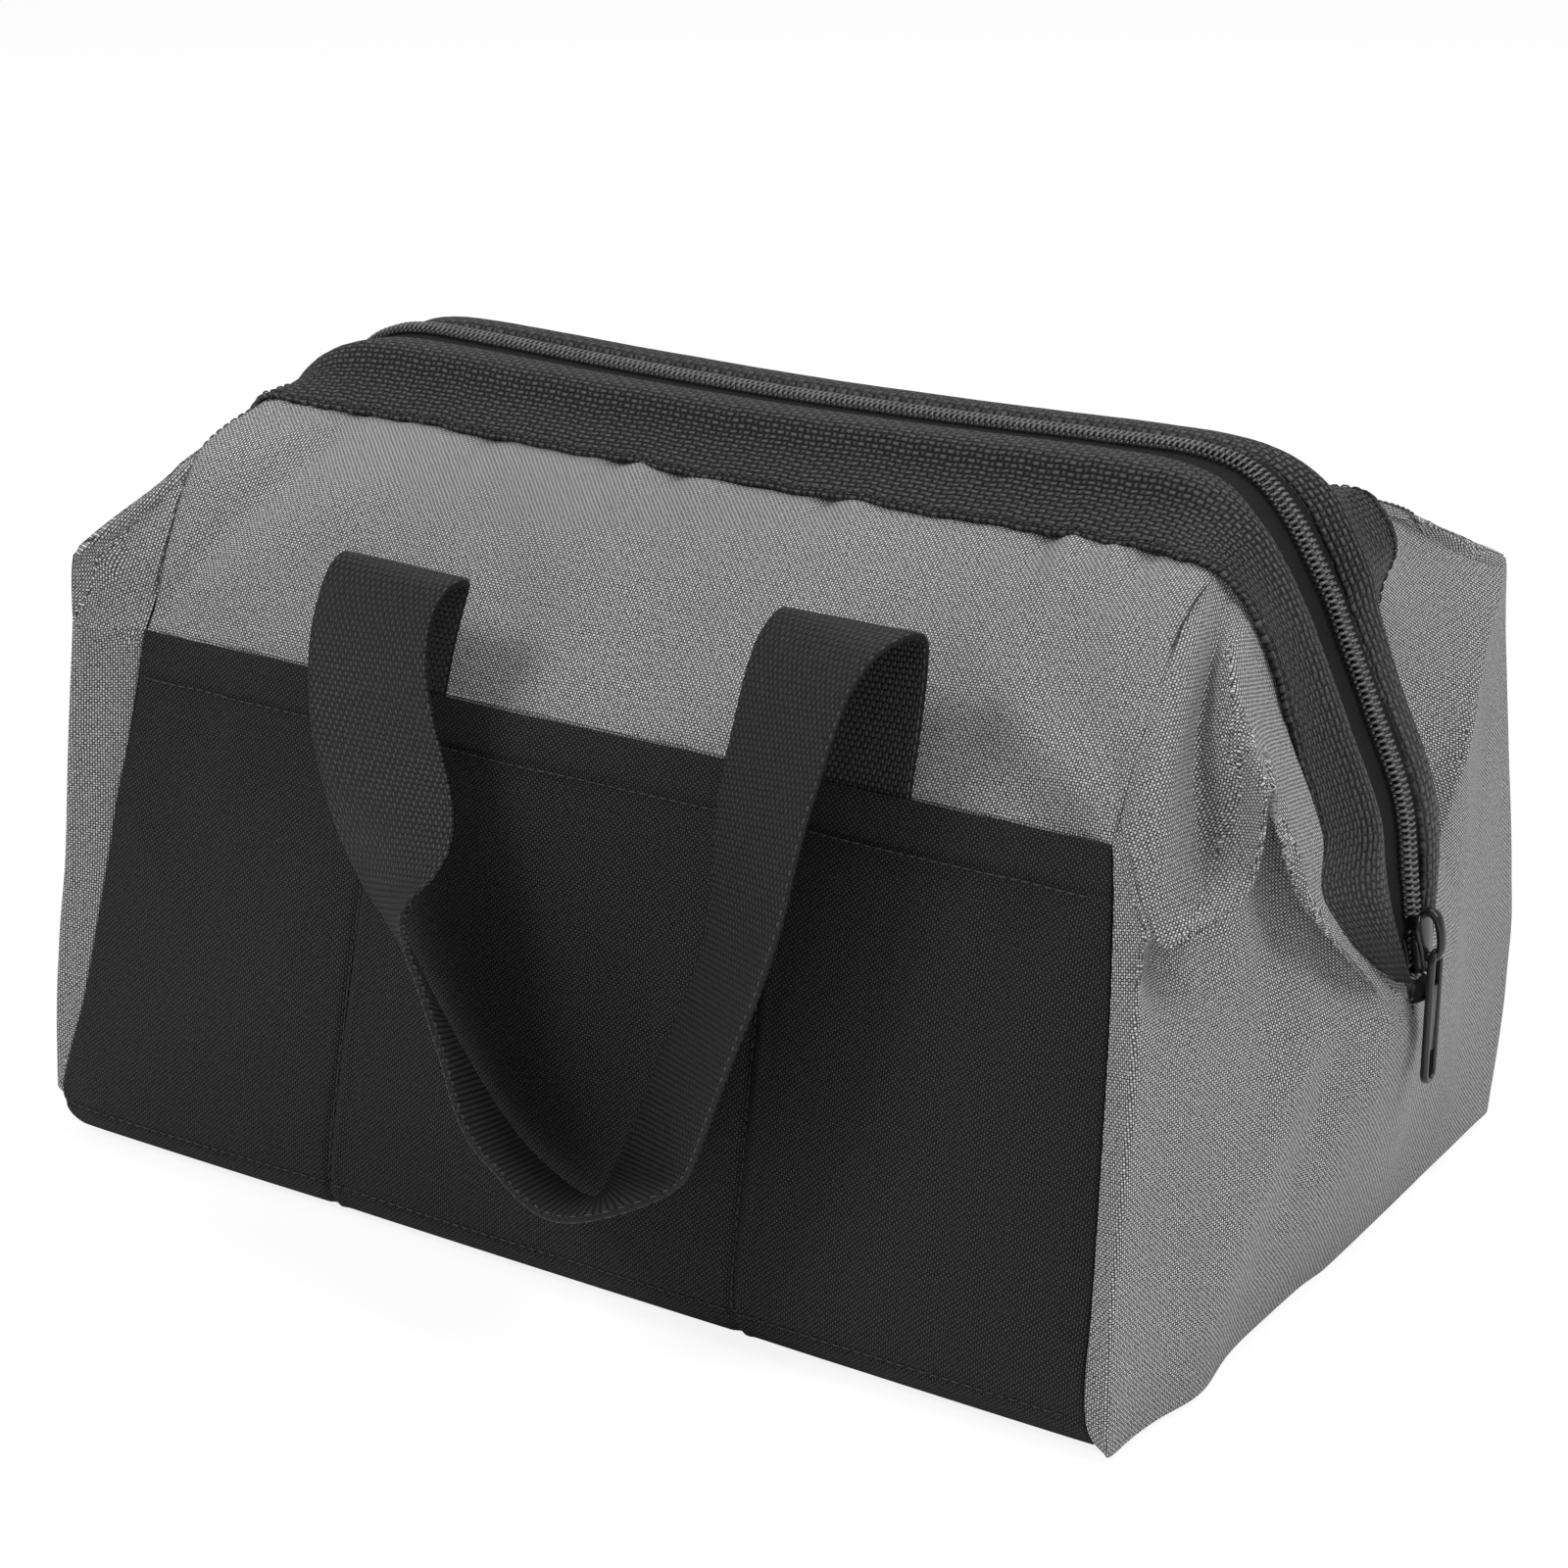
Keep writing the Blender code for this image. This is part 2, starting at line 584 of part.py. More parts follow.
def make_zip_ends():
    """Rolled and stitched tape end below each foot of the mouth, in line with the tape."""
    cloth = make_material("zip_end_cloth", BLACK, 0.8)
    data = bmesh.new()
    foot = mouth_row(len(MOUTH_SHARES) - 1)["centre"]
    up, out = slider_axes()[1:]
    turn = Matrix((out, up.cross(out), up)).transposed()
    low = foot - up * (2 * CLEARANCE + END_TACK_HEIGHT) - out * (COIL_HEIGHT + 2 * CLEARANCE + END_TACK_RIDGE / 2)
    middle = low + up * END_TACK_HEIGHT / 2 - out * END_TACK_THICKNESS / 2
    add_box(data, middle, (END_TACK_THICKNESS, END_TACK_WIDTH, END_TACK_HEIGHT), turn)
    block = add_mesh("right_zip_end", data, cloth)
    ridges = []
    rows = 3
    sides = 10
    ridge_share = 0.96
    for row in range(rows):
        ridge_data = bmesh.new()
        centre = low + up * END_TACK_HEIGHT * (row + 0.5) / rows
        place = Matrix.Translation(centre) @ Matrix.Rotation(math.pi / 2, 4, "X")
        bmesh.ops.create_cone(ridge_data, cap_ends=True, segments=sides, radius1=END_TACK_RIDGE / 2,
                              radius2=END_TACK_RIDGE / 2, depth=END_TACK_WIDTH * ridge_share, matrix=place)
        ridges.append(add_mesh(f"zip_end_ridge_{row}", ridge_data, None, CUTTERS))
    right = union_all("right_zip_end", [block] + ridges, cloth)
    bpy.context.view_layer.update()
    mesh = bpy.data.meshes.new_from_object(right.evaluated_get(bpy.context.evaluated_depsgraph_get()))
    mesh.transform(HALF_TURN)
    left = bpy.data.objects.new("left_zip_end", mesh)
    BAG.objects.link(left)


# Slider on the straight stretch of the zip at the right end, and its hanging pull

def slider_axes():
    """Centre of the slider on the coil's face, direction up the zip and outward direction."""
    foot = mouth_row(len(MOUTH_SHARES) - 1)["centre"]
    top = mouth_row(len(MOUTH_SHARES) - 3)["centre"]
    up = (top - foot).normalized()
    out = Vector((up.z, 0, -up.x))
    return foot + up * SLIDER_RISE, up, out


def make_slider():
    paint = make_material("slider_paint", (0.012, 0.012, 0.013, 1), 0.35, 0.3)
    centre, up, out = slider_axes()
    turn = Matrix((up, out.cross(up), out)).transposed()
    plate_low = CLEARANCE
    plate_high = plate_low + SLIDER_PLATE
    tape_low = -COIL_HEIGHT - CLEARANCE - TAPE_THICKNESS
    back_high = tape_low - CLEARANCE
    side, wall = SLIDER_WIDTH / 2, SLIDER_WIDTH / 2 - SLIDER_FLANGE
    outline = ((-side, plate_high), (side, plate_high), (side, -COIL_HEIGHT), (wall, -COIL_HEIGHT),
               (wall, plate_low), (-wall, plate_low), (-wall, -COIL_HEIGHT), (-side, -COIL_HEIGHT))
    ends = (-SLIDER_LENGTH / 2, SLIDER_LENGTH / 2)
    face = sweep("zip_slider", [[centre + turn @ Vector((end, across, height)) for across, height in outline]
                                for end in ends], paint)
    post_low = back_high - SLIDER_PLATE / 2
    post_high = plate_low + SLIDER_PLATE / 2
    post_middle = SLIDER_POST_LENGTH - SLIDER_LENGTH / 2
    boxes = (
        ("slider_back", 0, back_high - SLIDER_PLATE / 2, SLIDER_LENGTH, SLIDER_WIDTH, SLIDER_PLATE),
        ("slider_post", post_middle, (post_low + post_high) / 2, SLIDER_POST_LENGTH, SLIDER_POST, post_high - post_low),
    )
    parts = [face]
    for name, along, height, length, width, depth in boxes:
        data = bmesh.new()
        add_box(data, centre + turn @ Vector((along, 0, height)), (length, width, depth), turn)
        parts.append(add_mesh(name, data, paint, CUTTERS))
    arch = []
    arch_steps = 10
    for step in range(arch_steps + 1):
        angle = math.pi * step / arch_steps
        along = -math.cos(angle) * (CROWN_LENGTH - CROWN_WIRE) / 2
        height = plate_high - CROWN_WIRE / 4 + math.sin(angle) * (CROWN_HEIGHT - CROWN_WIRE / 2)
        arch.append(centre + turn @ Vector((along, 0, height)))
    crown = make_tube("slider_crown", arch, CROWN_WIRE, paint)
    BAG.objects.unlink(crown)
    CUTTERS.objects.link(crown)
    return union_all("zip_slider", parts + [crown], paint)


def pull_pivot():
    centre, up, out = slider_axes()
    under_crown = SLIDER_PLATE + CROWN_HEIGHT - CROWN_WIRE - CROWN_WIRE / 4
    return centre + out * (under_crown - PULL_THICKNESS / 2)


def make_pull():
    """Flat pull with a slot round the crown, a thin plate and an eye, hanging straight down."""
    paint = make_material("pull_paint", (0.012, 0.012, 0.013, 1), 0.35, 0.3)
    pivot = pull_pivot()
    data = bmesh.new()
    steps = 8
    radius = PULL_WIDTH / 2
    top = PULL_RIM / 2
    ring = []
    for end, start in ((top - radius, 0), (top - PULL_LENGTH + radius, math.pi)):
        for step in range(steps + 1):
            angle = start + math.pi * step / steps
            ring.append(data.verts.new((0, math.cos(angle) * radius, end + math.sin(angle) * radius)))
    face = data.faces.new(ring)
    grown = bmesh.ops.extrude_face_region(data, geom=[face])["geom"]
    side = [item for item in grown if isinstance(item, bmesh.types.BMVert)]
    bmesh.ops.translate(data, verts=side, vec=(PULL_THICKNESS, 0, 0))
    bmesh.ops.translate(data, verts=data.verts, vec=(-PULL_THICKNESS / 2, 0, 0))
    bmesh.ops.recalc_face_normals(data, faces=data.faces)
    pull = add_mesh("zip_pull", data, paint)
    opening = PULL_WIDTH - 2 * PULL_RIM
    plate_top = top - PULL_RIM - PULL_SLOT - PULL_RIM
    eye_top = plate_top - PULL_PLATE_LENGTH - PULL_RIM
    pocket_depth = (PULL_THICKNESS - PULL_PLATE_THICKNESS) / 2
    overrun = PULL_THICKNESS
    cuts = (
        (0, top - PULL_RIM - PULL_SLOT / 2, PULL_THICKNESS + overrun, PULL_SLOT),
        ((PULL_PLATE_THICKNESS + pocket_depth + overrun) / 2, plate_top - PULL_PLATE_LENGTH / 2,
         pocket_depth + overrun, PULL_PLATE_LENGTH),
        (-(PULL_PLATE_THICKNESS + pocket_depth + overrun) / 2, plate_top - PULL_PLATE_LENGTH / 2,
         pocket_depth + overrun, PULL_PLATE_LENGTH),
        (0, eye_top - PULL_EYE / 2, PULL_THICKNESS + overrun, PULL_EYE),
    )
    for index, (across, height, depth, length) in enumerate(cuts):
        cut_data = bmesh.new()
        add_box(cut_data, Vector((across, 0, height)), (depth, opening, length))
        cutter = add_mesh(f"pull_cut_{index}", cut_data, None, CUTTERS)
        cutter.hide_render = True
        cutter.display_type = "WIRE"
        cutter.location = pivot
        cut = pull.modifiers.new("cut", "BOOLEAN")
        cut.operation = "DIFFERENCE"
        cut.object = cutter
    pull.location = pivot
    return pull


# Handles

def ribbon_sections(rows):
    """Webbing sections along rows of (place, turn in degrees), square to the run."""
    sections = []
    for index, (place, turn) in enumerate(rows):
        ahead = rows[min(index + 1, len(rows) - 1)][0]
        behind = rows[max(index - 1, 0)][0]
        along = (ahead - behind).normalized()
        across = Vector((math.cos(math.radians(turn)), -math.sin(math.radians(turn)), 0))
        across = (across - along * across.dot(along)).normalized()
        face = along.cross(across)
        half, thick = across * WEBBING_WIDTH / 2, face * WEBBING_THICKNESS / 2
        sections.append([place - half - thick, place + half - thick, place + half + thick, place - half + thick])
    return sections


def make_handle():
    webbing = make_material("handle_webbing", BLACK, 0.85)
    made = []
    for side, (foot_share, top_share) in zip(("left", "right"), RISER_LEAN_SHARES):
        foot = Vector((HANDLE_SPREAD * foot_share, -wall_depth(POCKET_HEIGHT) + CLOTH, POCKET_HEIGHT + CLEARANCE))
        foot.z += WEBBING_THICKNESS
        top = Vector((HANDLE_SPREAD * top_share, FOLD_RADIUS - FOLD_OFFSET, FOLD_HEIGHT - 2 * CLEARANCE))
        rows = [(foot.lerp(top, step / SWEEP_STEPS), 0) for step in range(SWEEP_STEPS + 1)]
        made.append(sweep(f"front_{side}_riser", ribbon_sections(rows), webbing))
        arc_steps = 12
        rows = []
        gap_angle = 2 * CLEARANCE / FOLD_RADIUS
        for step in range(arc_steps + 1):
            angle = gap_angle + (math.pi - 2 * gap_angle) * step / arc_steps
            rows.append((Vector((top.x, math.cos(angle) * FOLD_RADIUS - FOLD_OFFSET,
                                 FOLD_HEIGHT + math.sin(angle) * FOLD_RADIUS)), 0))
        made.append(sweep(f"front_{side}_fold", ribbon_sections(rows), webbing))
    shares = smooth_run(HANDLE_SHARES, 3)
    rows = []
    for along, depth, height, turn in shares:
        place = Vector((HANDLE_SPREAD * along, -HALF_DEPTH * depth, FOLD_HEIGHT * height))
        rows.append((place, turn))
    made.append(sweep("front_handle", ribbon_sections(rows), webbing))
    for source in made:
        moved_copy(source, source.name.replace("front", "back"), HALF_TURN)


make_base()
make_walls()
make_ears(make_ends())
make_slopes()
make_bands()
make_zip()
make_zip_ends()
make_slider()
make_pull()
make_handle()
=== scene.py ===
"""Looks of a wide-mouth tool bag: grey woven polyester body with black pockets, webbing mouth and handles."""
import math

import bmesh
import bpy
import numpy as np
from mathutils import Matrix, Vector


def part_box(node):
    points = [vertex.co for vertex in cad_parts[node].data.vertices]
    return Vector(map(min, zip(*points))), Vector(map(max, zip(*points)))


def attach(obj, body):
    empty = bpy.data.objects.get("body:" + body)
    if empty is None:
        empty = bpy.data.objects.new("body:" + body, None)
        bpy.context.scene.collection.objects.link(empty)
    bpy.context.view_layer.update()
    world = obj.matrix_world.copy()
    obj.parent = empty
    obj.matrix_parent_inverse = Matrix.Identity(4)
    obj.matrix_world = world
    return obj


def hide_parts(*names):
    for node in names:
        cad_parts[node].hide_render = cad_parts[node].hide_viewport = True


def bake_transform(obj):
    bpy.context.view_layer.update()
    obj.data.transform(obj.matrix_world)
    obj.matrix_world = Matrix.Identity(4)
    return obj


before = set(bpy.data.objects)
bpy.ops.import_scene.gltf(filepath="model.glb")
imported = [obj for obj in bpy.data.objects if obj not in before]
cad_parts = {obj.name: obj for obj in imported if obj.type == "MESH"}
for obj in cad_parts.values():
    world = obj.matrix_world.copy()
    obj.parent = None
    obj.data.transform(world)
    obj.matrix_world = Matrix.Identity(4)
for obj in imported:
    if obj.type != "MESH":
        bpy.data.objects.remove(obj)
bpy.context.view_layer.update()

# Camera at the photograph's angle, pale floor and soft studio light
# The camera stands a metre away, above the bag's right front corner, and looks down at it.
# Three broad soft lamps stand for a product studio's boxes, and the world fills the rest.


def add_node(tree, kind, settings=None, links=None):
    """One node with its settings and what feeds it. A node that feeds it does so from its first output."""
    node = tree.nodes.new(kind)
    for key, value in (settings or {}).items():
        if isinstance(key, int) or key in node.inputs:
            node.inputs[key].default_value = value
        else:
            setattr(node, key, value)
    for key, source in (links or {}).items():
        tree.links.new(getattr(source, "outputs", [source])[0], node.inputs[key])
    return node


def dye(code):
    """Linear colour of an sRGB hex code."""
    parts = [int(code[i:i + 2], 16) / 255 for i in (0, 2, 4)]
    return (*[c / 12.92 if c <= 0.04045 else ((c + 0.055) / 1.055) ** 2.4 for c in parts], 1)


def placed(name, data):
    """A new object in the scene."""
    made = bpy.data.objects.new(name, data)
    bpy.context.scene.collection.objects.link(made)
    return made


def new_material(name, settings):
    """A material with settings of its shader, its node tree and the shader."""
    material = bpy.data.materials.new(name)
    material.use_nodes = True
    shader = material.node_tree.nodes["Principled BSDF"]
    for key, value in settings.items():
        shader.inputs[key].default_value = value
    return material, material.node_tree, shader


LOOKS_DOWN, LOOKS_FROM_RIGHT = 20.08, 33.13
FLOOR_REACH, FLOOR_DROP = 6, 0.0004
LIT_SPOT = (0, 0, 0.1)
WHITE = dye("ffffff")
photo_camera = placed("photo_camera", bpy.data.cameras.new("photo_camera"))
photo_camera.location = (0.49226, -0.75631, 0.42827)
photo_camera.rotation_euler = (math.radians(90 - LOOKS_DOWN), 0, math.radians(LOOKS_FROM_RIGHT))
photo_camera.data.lens = 83.4
photo_camera.data.sensor_width = 36
photo_camera.data.clip_start = 0.01
bpy.context.scene.camera = photo_camera
bpy.context.scene.view_settings.view_transform = "Standard"

studio = bpy.data.worlds.new("studio")
bpy.context.scene.world = studio
studio.use_nodes = True
sky_tree = studio.node_tree
sky_tree.nodes.clear()
path = add_node(sky_tree, "ShaderNodeLightPath")
seen = add_node(sky_tree, "ShaderNodeMath", {"operation": "MAXIMUM"},
                {0: path.outputs["Is Camera Ray"], 1: path.outputs["Is Transmission Ray"]})
fill = add_node(sky_tree, "ShaderNodeBackground", {"Color": WHITE, "Strength": 0.42})
plain = add_node(sky_tree, "ShaderNodeBackground", {"Color": WHITE, "Strength": 1.0})
sky = add_node(sky_tree, "ShaderNodeMixShader", {}, {0: seen, 1: fill, 2: plain})
add_node(sky_tree, "ShaderNodeOutputWorld", {}, {0: sky})

for name, spot, size, power in (("left_box", (-0.9, -1.1, 1.7), (0.7, 0.7), 19),
                                ("right_box", (1.3, 0.1, 1.7), (0.7, 0.9), 22),
                                ("top_box", (0.2, 0.9, 1.8), (0.8, 0.8), 7)):
    lamp = placed(name, bpy.data.lights.new(name, "AREA"))
    lamp.data.shape = "RECTANGLE"
    lamp.data.size, lamp.data.size_y = size
    lamp.data.energy = power
    lamp.location = spot
    lamp.rotation_euler = (Vector(spot) - Vector(LIT_SPOT)).to_track_quat("Z", "Y").to_euler()

floor_mesh = bpy.data.meshes.new("floor")
floor_mesh.from_pydata([(x * FLOOR_REACH, y * FLOOR_REACH, 0) for x, y in ((-1, -1), (1, -1), (1, 1), (-1, 1))], [],
                       [(0, 1, 2, 3)])
floor = placed("floor", floor_mesh)
floor.location.z = -FLOOR_DROP
paper, paper_tree, paper_shader = new_material(
    "white_paper_floor", {"Base Color": dye("fafafa"), "Roughness": 0.9, "Specular IOR Level": 0.1})
glow = add_node(paper_tree, "ShaderNodeEmission", {"Color": WHITE, "Strength": 1.08})
floor_path = add_node(paper_tree, "ShaderNodeLightPath")
camera_share = add_node(paper_tree, "ShaderNodeMath", {"operation": "MULTIPLY", 1: 0.8},
                        {0: floor_path.outputs["Is Camera Ray"]})
floor_mix = add_node(paper_tree, "ShaderNodeMixShader", {}, {0: camera_share, 1: paper_shader, 2: glow})
paper_tree.links.new(floor_mix.outputs[0], paper_tree.nodes["Material Output"].inputs[0])
floor_mesh.materials.append(paper)

# Base
# Black woven polyester bottom with a stiff plastic board lying on it inside. The board is the
# CAD's own. The cloth's corners are sewn round, so the front left one lifts a little.

BASE_LENGTH = 0.320
BASE_DEPTH = 0.220
POCKET_HEIGHT = 0.140
MOUTH_HEIGHT = 0.207
HALF_LENGTH = BASE_LENGTH / 2
HALF_DEPTH = BASE_DEPTH / 2
CLOTH = 0.0010
SEAM_ALLOWANCE = ((0.0003, 0.0004), (0.0004, 0.0012), (0.0003, 0.0026))
OXFORD_THREAD, OXFORD_RISE = 0.00065, 0.00022
RELAX_ROUNDS, RELAX_SHARE = 60, 0.125
HALF_TURN = Matrix.Rotation(math.pi, 4, "Z")


def woven(name, light, dark, thread, rise, roughness, sheen=0.0, gloss=0.3, length=0.35, spread=0.5, under=0.6,
          stretch=1.0):
    """Plain weave read from the cloth's own map in metres. Two threads cross in each cell: the one on top is an oval
    hump whose top is painted lighter as a painted highlight, the gaps round it are painted dark as painted shade, and
    each thread's tone and painted highlight differ at random. Thread is one cell's width and rise its height. Light is
    the painted highlight's colour and dark the painted shade's. A small length makes long humps, spread is how much
    threads differ, under is how light the crossing threads beneath stay in their painted shade, and stretch draws the
    cells out along the cloth."""
    material, tree, shader = new_material(name, {"Roughness": roughness, "Specular IOR Level": gloss,
                                                 "Sheen Weight": sheen, "Sheen Roughness": 0.45})
    grid = add_node(tree, "ShaderNodeUVMap", {"uv_map": "cloth"})
    wobble = add_node(tree, "ShaderNodeTexNoise", {"Scale": 0.22 / thread, "Detail": 2.0}, {"Vector": grid})
    shift = add_node(tree, "ShaderNodeVectorMath", {"operation": "SCALE", "Scale": thread * 0.7},
                     {0: wobble.outputs["Color"]})
    moved = add_node(tree, "ShaderNodeVectorMath", {"operation": "ADD"}, {0: grid, 1: shift})
    cells = (math.pi / thread / stretch, math.pi / thread, 0)
    scaled = add_node(tree, "ShaderNodeVectorMath", {"operation": "MULTIPLY", 1: cells}, {0: moved})
    axes = add_node(tree, "ShaderNodeSeparateXYZ", {}, {0: scaled})
    waves = [add_node(tree, "ShaderNodeMath", {"operation": "SINE"}, {0: axes.outputs[i]})
             for i in ((1, 0) if stretch > 1 else (0, 1))]
    humps = [add_node(tree, "ShaderNodeMath", {"operation": "ABSOLUTE"}, {0: wave}) for wave in waves]
    flats = [add_node(tree, "ShaderNodeMath", {"operation": "POWER", 1: length}, {0: hump}) for hump in humps]
    warp, weft, side = (add_node(tree, "ShaderNodeMath", {"operation": "MULTIPLY"}, {0: first, 1: second})
                        for first, second in ((humps[0], flats[1]), (humps[1], flats[0]), waves))
    over = add_node(tree, "ShaderNodeMath", {"operation": "GREATER_THAN", 1: 0.0}, {0: side})
    height = add_node(tree, "ShaderNodeMix", {"data_type": "FLOAT"}, {0: over, 2: weft, 3: warp})
    # Painted shade: the crossing thread beneath keeps only under of its tone.
    under_thread_painted_shade = add_node(tree, "ShaderNodeMapRange", {"To Min": under, "To Max": 1.0}, {0: over})
    tone = add_node(tree, "ShaderNodeMath", {"operation": "MULTIPLY"}, {0: height, 1: under_thread_painted_shade})
    yarn = add_node(tree, "ShaderNodeTexNoise", {"Scale": 0.6 / thread, "Detail": 1.0}, {"Vector": grid})
    speck = add_node(tree, "ShaderNodeMath", {"operation": "MULTIPLY_ADD", 1: spread, 2: -spread / 2}, {0: yarn})
    mixed = add_node(tree, "ShaderNodeMath", {"operation": "ADD"}, {0: tone, 1: speck})
    # Painted highlight on the threads' tops and painted shade in the gaps, as a mix from the dark colour to the light
    # one.
    painted_highlight_and_shade = add_node(tree, "ShaderNodeMapRange",
                     {"interpolation_type": "SMOOTHSTEP", "From Min": 0.2, "From Max": 0.95}, {0: mixed})
    place = add_node(tree, "ShaderNodeTexCoord")
    cloud = add_node(tree, "ShaderNodeTexNoise", {"Scale": 14.0, "Detail": 3.0}, {"Vector": place.outputs["Object"]})
    worn = add_node(tree, "ShaderNodeMapRange", {"From Min": 0.3, "From Max": 0.7, "To Min": 0.93, "To Max": 1.05},
                    {0: cloud})
    colour = add_node(tree, "ShaderNodeMix", {"data_type": "RGBA", 6: dye(dark), 7: dye(light)}, {0: painted_highlight_and_shade})
    faded = add_node(tree, "ShaderNodeVectorMath", {"operation": "SCALE"}, {0: colour.outputs[2], 3: worn})
    tree.links.new(faded.outputs[0], shader.inputs["Base Color"])
    relief = add_node(tree, "ShaderNodeBump", {"Strength": 1.0, "Distance": rise}, {"Height": height})
    tree.links.new(relief.outputs[0], shader.inputs["Normal"])
    return material


def unit(ways):
    """The same directions, each of length one."""
    return ways / np.maximum(np.linalg.norm(ways, axis=-1, keepdims=True), 1e-12)


def outward(grid):
    """Direction away from the bag at each point of a grid."""
    return unit(np.cross(np.gradient(grid, axis=1), np.gradient(grid, axis=0)))


def turned_in(grid, left=True, right=True):
    """A grid with its sides turned in for the seam, as a seam allowance is."""
    out = outward(grid)
    extra = []
    for wanted, column, near in ((left, 0, 1), (right, -1, -2)):
        side = unit(grid[:, column] - grid[:, near])
        folds = [grid[:, column] + side * beside - out[:, column] * deep for beside, deep in SEAM_ALLOWANCE]
        extra.append(np.stack(folds[::-1] if column == 0 else folds, 1) if wanted else grid[:, :0])
    return np.concatenate([extra[0], grid, extra[1]], 1)


def laid_flat(grid):
    """Where each point of a cloth lies when it is spread out flat, in metres, so that its weave keeps its
    size over every fold. A coarse grid is laid out first, then each finer one is let relax from it."""
    rows, columns = grid.shape[:2]
    if min(rows, columns) > 6:
        picks = [np.unique(np.append(np.arange(0, n, 2), n - 1)) for n in (rows, columns)]
        flat = laid_flat(grid[np.ix_(*picks)])
        for pick, n in zip(picks, (rows, columns)):
            low = np.clip(np.searchsorted(pick, np.arange(n), side="right") - 1, 0, len(pick) - 2)
            share = ((np.arange(n) - pick[low]) / (pick[low + 1] - pick[low]))[:, None, None]
            flat = (flat[low] * (1 - share) + flat[low + 1] * share).transpose(1, 0, 2)
    else:
        steps = [np.linalg.norm(np.diff(grid, axis=axis), axis=2) for axis in (1, 0)]
        flat = np.stack([np.concatenate([np.zeros((rows, 1)), np.cumsum(steps[0], axis=1)], 1),
                         np.concatenate([np.zeros((1, columns)), np.cumsum(steps[1], axis=0)], 0)], -1)
    ties = [(np.s_[:, :-1], np.s_[:, 1:]), (np.s_[:-1], np.s_[1:]), (np.s_[:-1, :-1], np.s_[1:, 1:]),
            (np.s_[:-1, 1:], np.s_[1:, :-1])]
    rests = [np.linalg.norm(grid[b] - grid[a], axis=2) for a, b in ties]
    for _ in range(RELAX_ROUNDS):
        move = np.zeros_like(flat)
        for (a, b), rest in zip(ties, rests):
            gap = flat[b] - flat[a]
            fix = gap * (RELAX_SHARE * (1 - rest / np.maximum(np.linalg.norm(gap, axis=2), 1e-9)))[..., None]
            move[a] += fix
            move[b] -= fix
        flat += move
    return flat


def smooth_mesh(name, points, faces, material):
    """A mesh of one material, shaded smooth."""
    mesh = bpy.data.meshes.new(name)
    mesh.from_pydata(points.tolist(), [], faces)
    mesh.polygons.foreach_set("use_smooth", np.ones(len(faces), bool))
    mesh.materials.append(material)
    return mesh


def fabric(name, grid, material, thickness=CLOTH, flat=None):
    """Thin closed body of cloth from a grid of points on its outer face, with its map in metres."""
    grid = np.asarray(grid, float)
    rows, columns = grid.shape[:2]
    out = outward(grid)
    points = np.concatenate([grid.reshape(-1, 3), (grid - out * thickness).reshape(-1, 3)])
    index = np.arange(rows * columns).reshape(rows, columns)
    quads = np.stack([index[:-1, :-1], index[:-1, 1:], index[1:, 1:], index[1:, :-1]], -1).reshape(-1, 4)
    ring = np.concatenate([index[0, :-1], index[:-1, -1], index[-1, :0:-1], index[:0:-1, 0]])
    after = np.roll(ring, -1)
    count = rows * columns
    walls = np.stack([after, ring, ring + count, after + count], -1)
    mesh = smooth_mesh(name, points, np.concatenate([quads, quads[:, ::-1] + count, walls]).tolist(), material)
    edge = np.zeros(2 * count, bool)
    edge[ring] = edge[ring + count] = True
    pairs = np.zeros(len(mesh.edges) * 2, int)
    mesh.edges.foreach_get("vertices", pairs)
    pairs = pairs.reshape(-1, 2)
    mesh.edges.foreach_set("use_edge_sharp", edge[pairs[:, 0]] & edge[pairs[:, 1]])
    if flat is None:
        flat = laid_flat(grid)
    layer = mesh.uv_layers.new(name="cloth")
    both = np.concatenate([flat.reshape(-1, 2), flat.reshape(-1, 2)])
    corners = np.zeros(len(mesh.loops), int)
    mesh.loops.foreach_get("vertex_index", corners)
    layer.data.foreach_set("uv", both[corners].astype(np.float32).ravel())
    return placed(name, mesh)


def turned(source, name, matrix=HALF_TURN, keep=True):
    """The same piece for the back of the bag or another corner."""
    mesh = source.data.copy()
    mesh.name = name
    mesh.transform(matrix)
    if matrix.determinant() < 0:
        mesh.flip_normals()
    if not keep:
        bpy.data.objects.remove(source)
    return placed(name, mesh)


def smooth_run(rows, steps):
    """Points of a smooth curve through rows of numbers."""
    p = np.asarray(rows, float)
    shape = p.shape[1:]
    p = np.concatenate([p[:1], p, p[-1:]]).reshape(len(p) + 2, -1)
    t = (np.arange(steps) / steps)[:, None]
    runs = [0.5 * (2 * b + (c - a) * t + (2 * a - 5 * b + 4 * c - d) * t ** 2 + (3 * b - a - 3 * c + d) * t ** 3)
            for a, b, c, d in zip(p, p[1:], p[2:], p[3:])]
    return np.concatenate(runs + [p[-1:]]).reshape(-1, *shape)
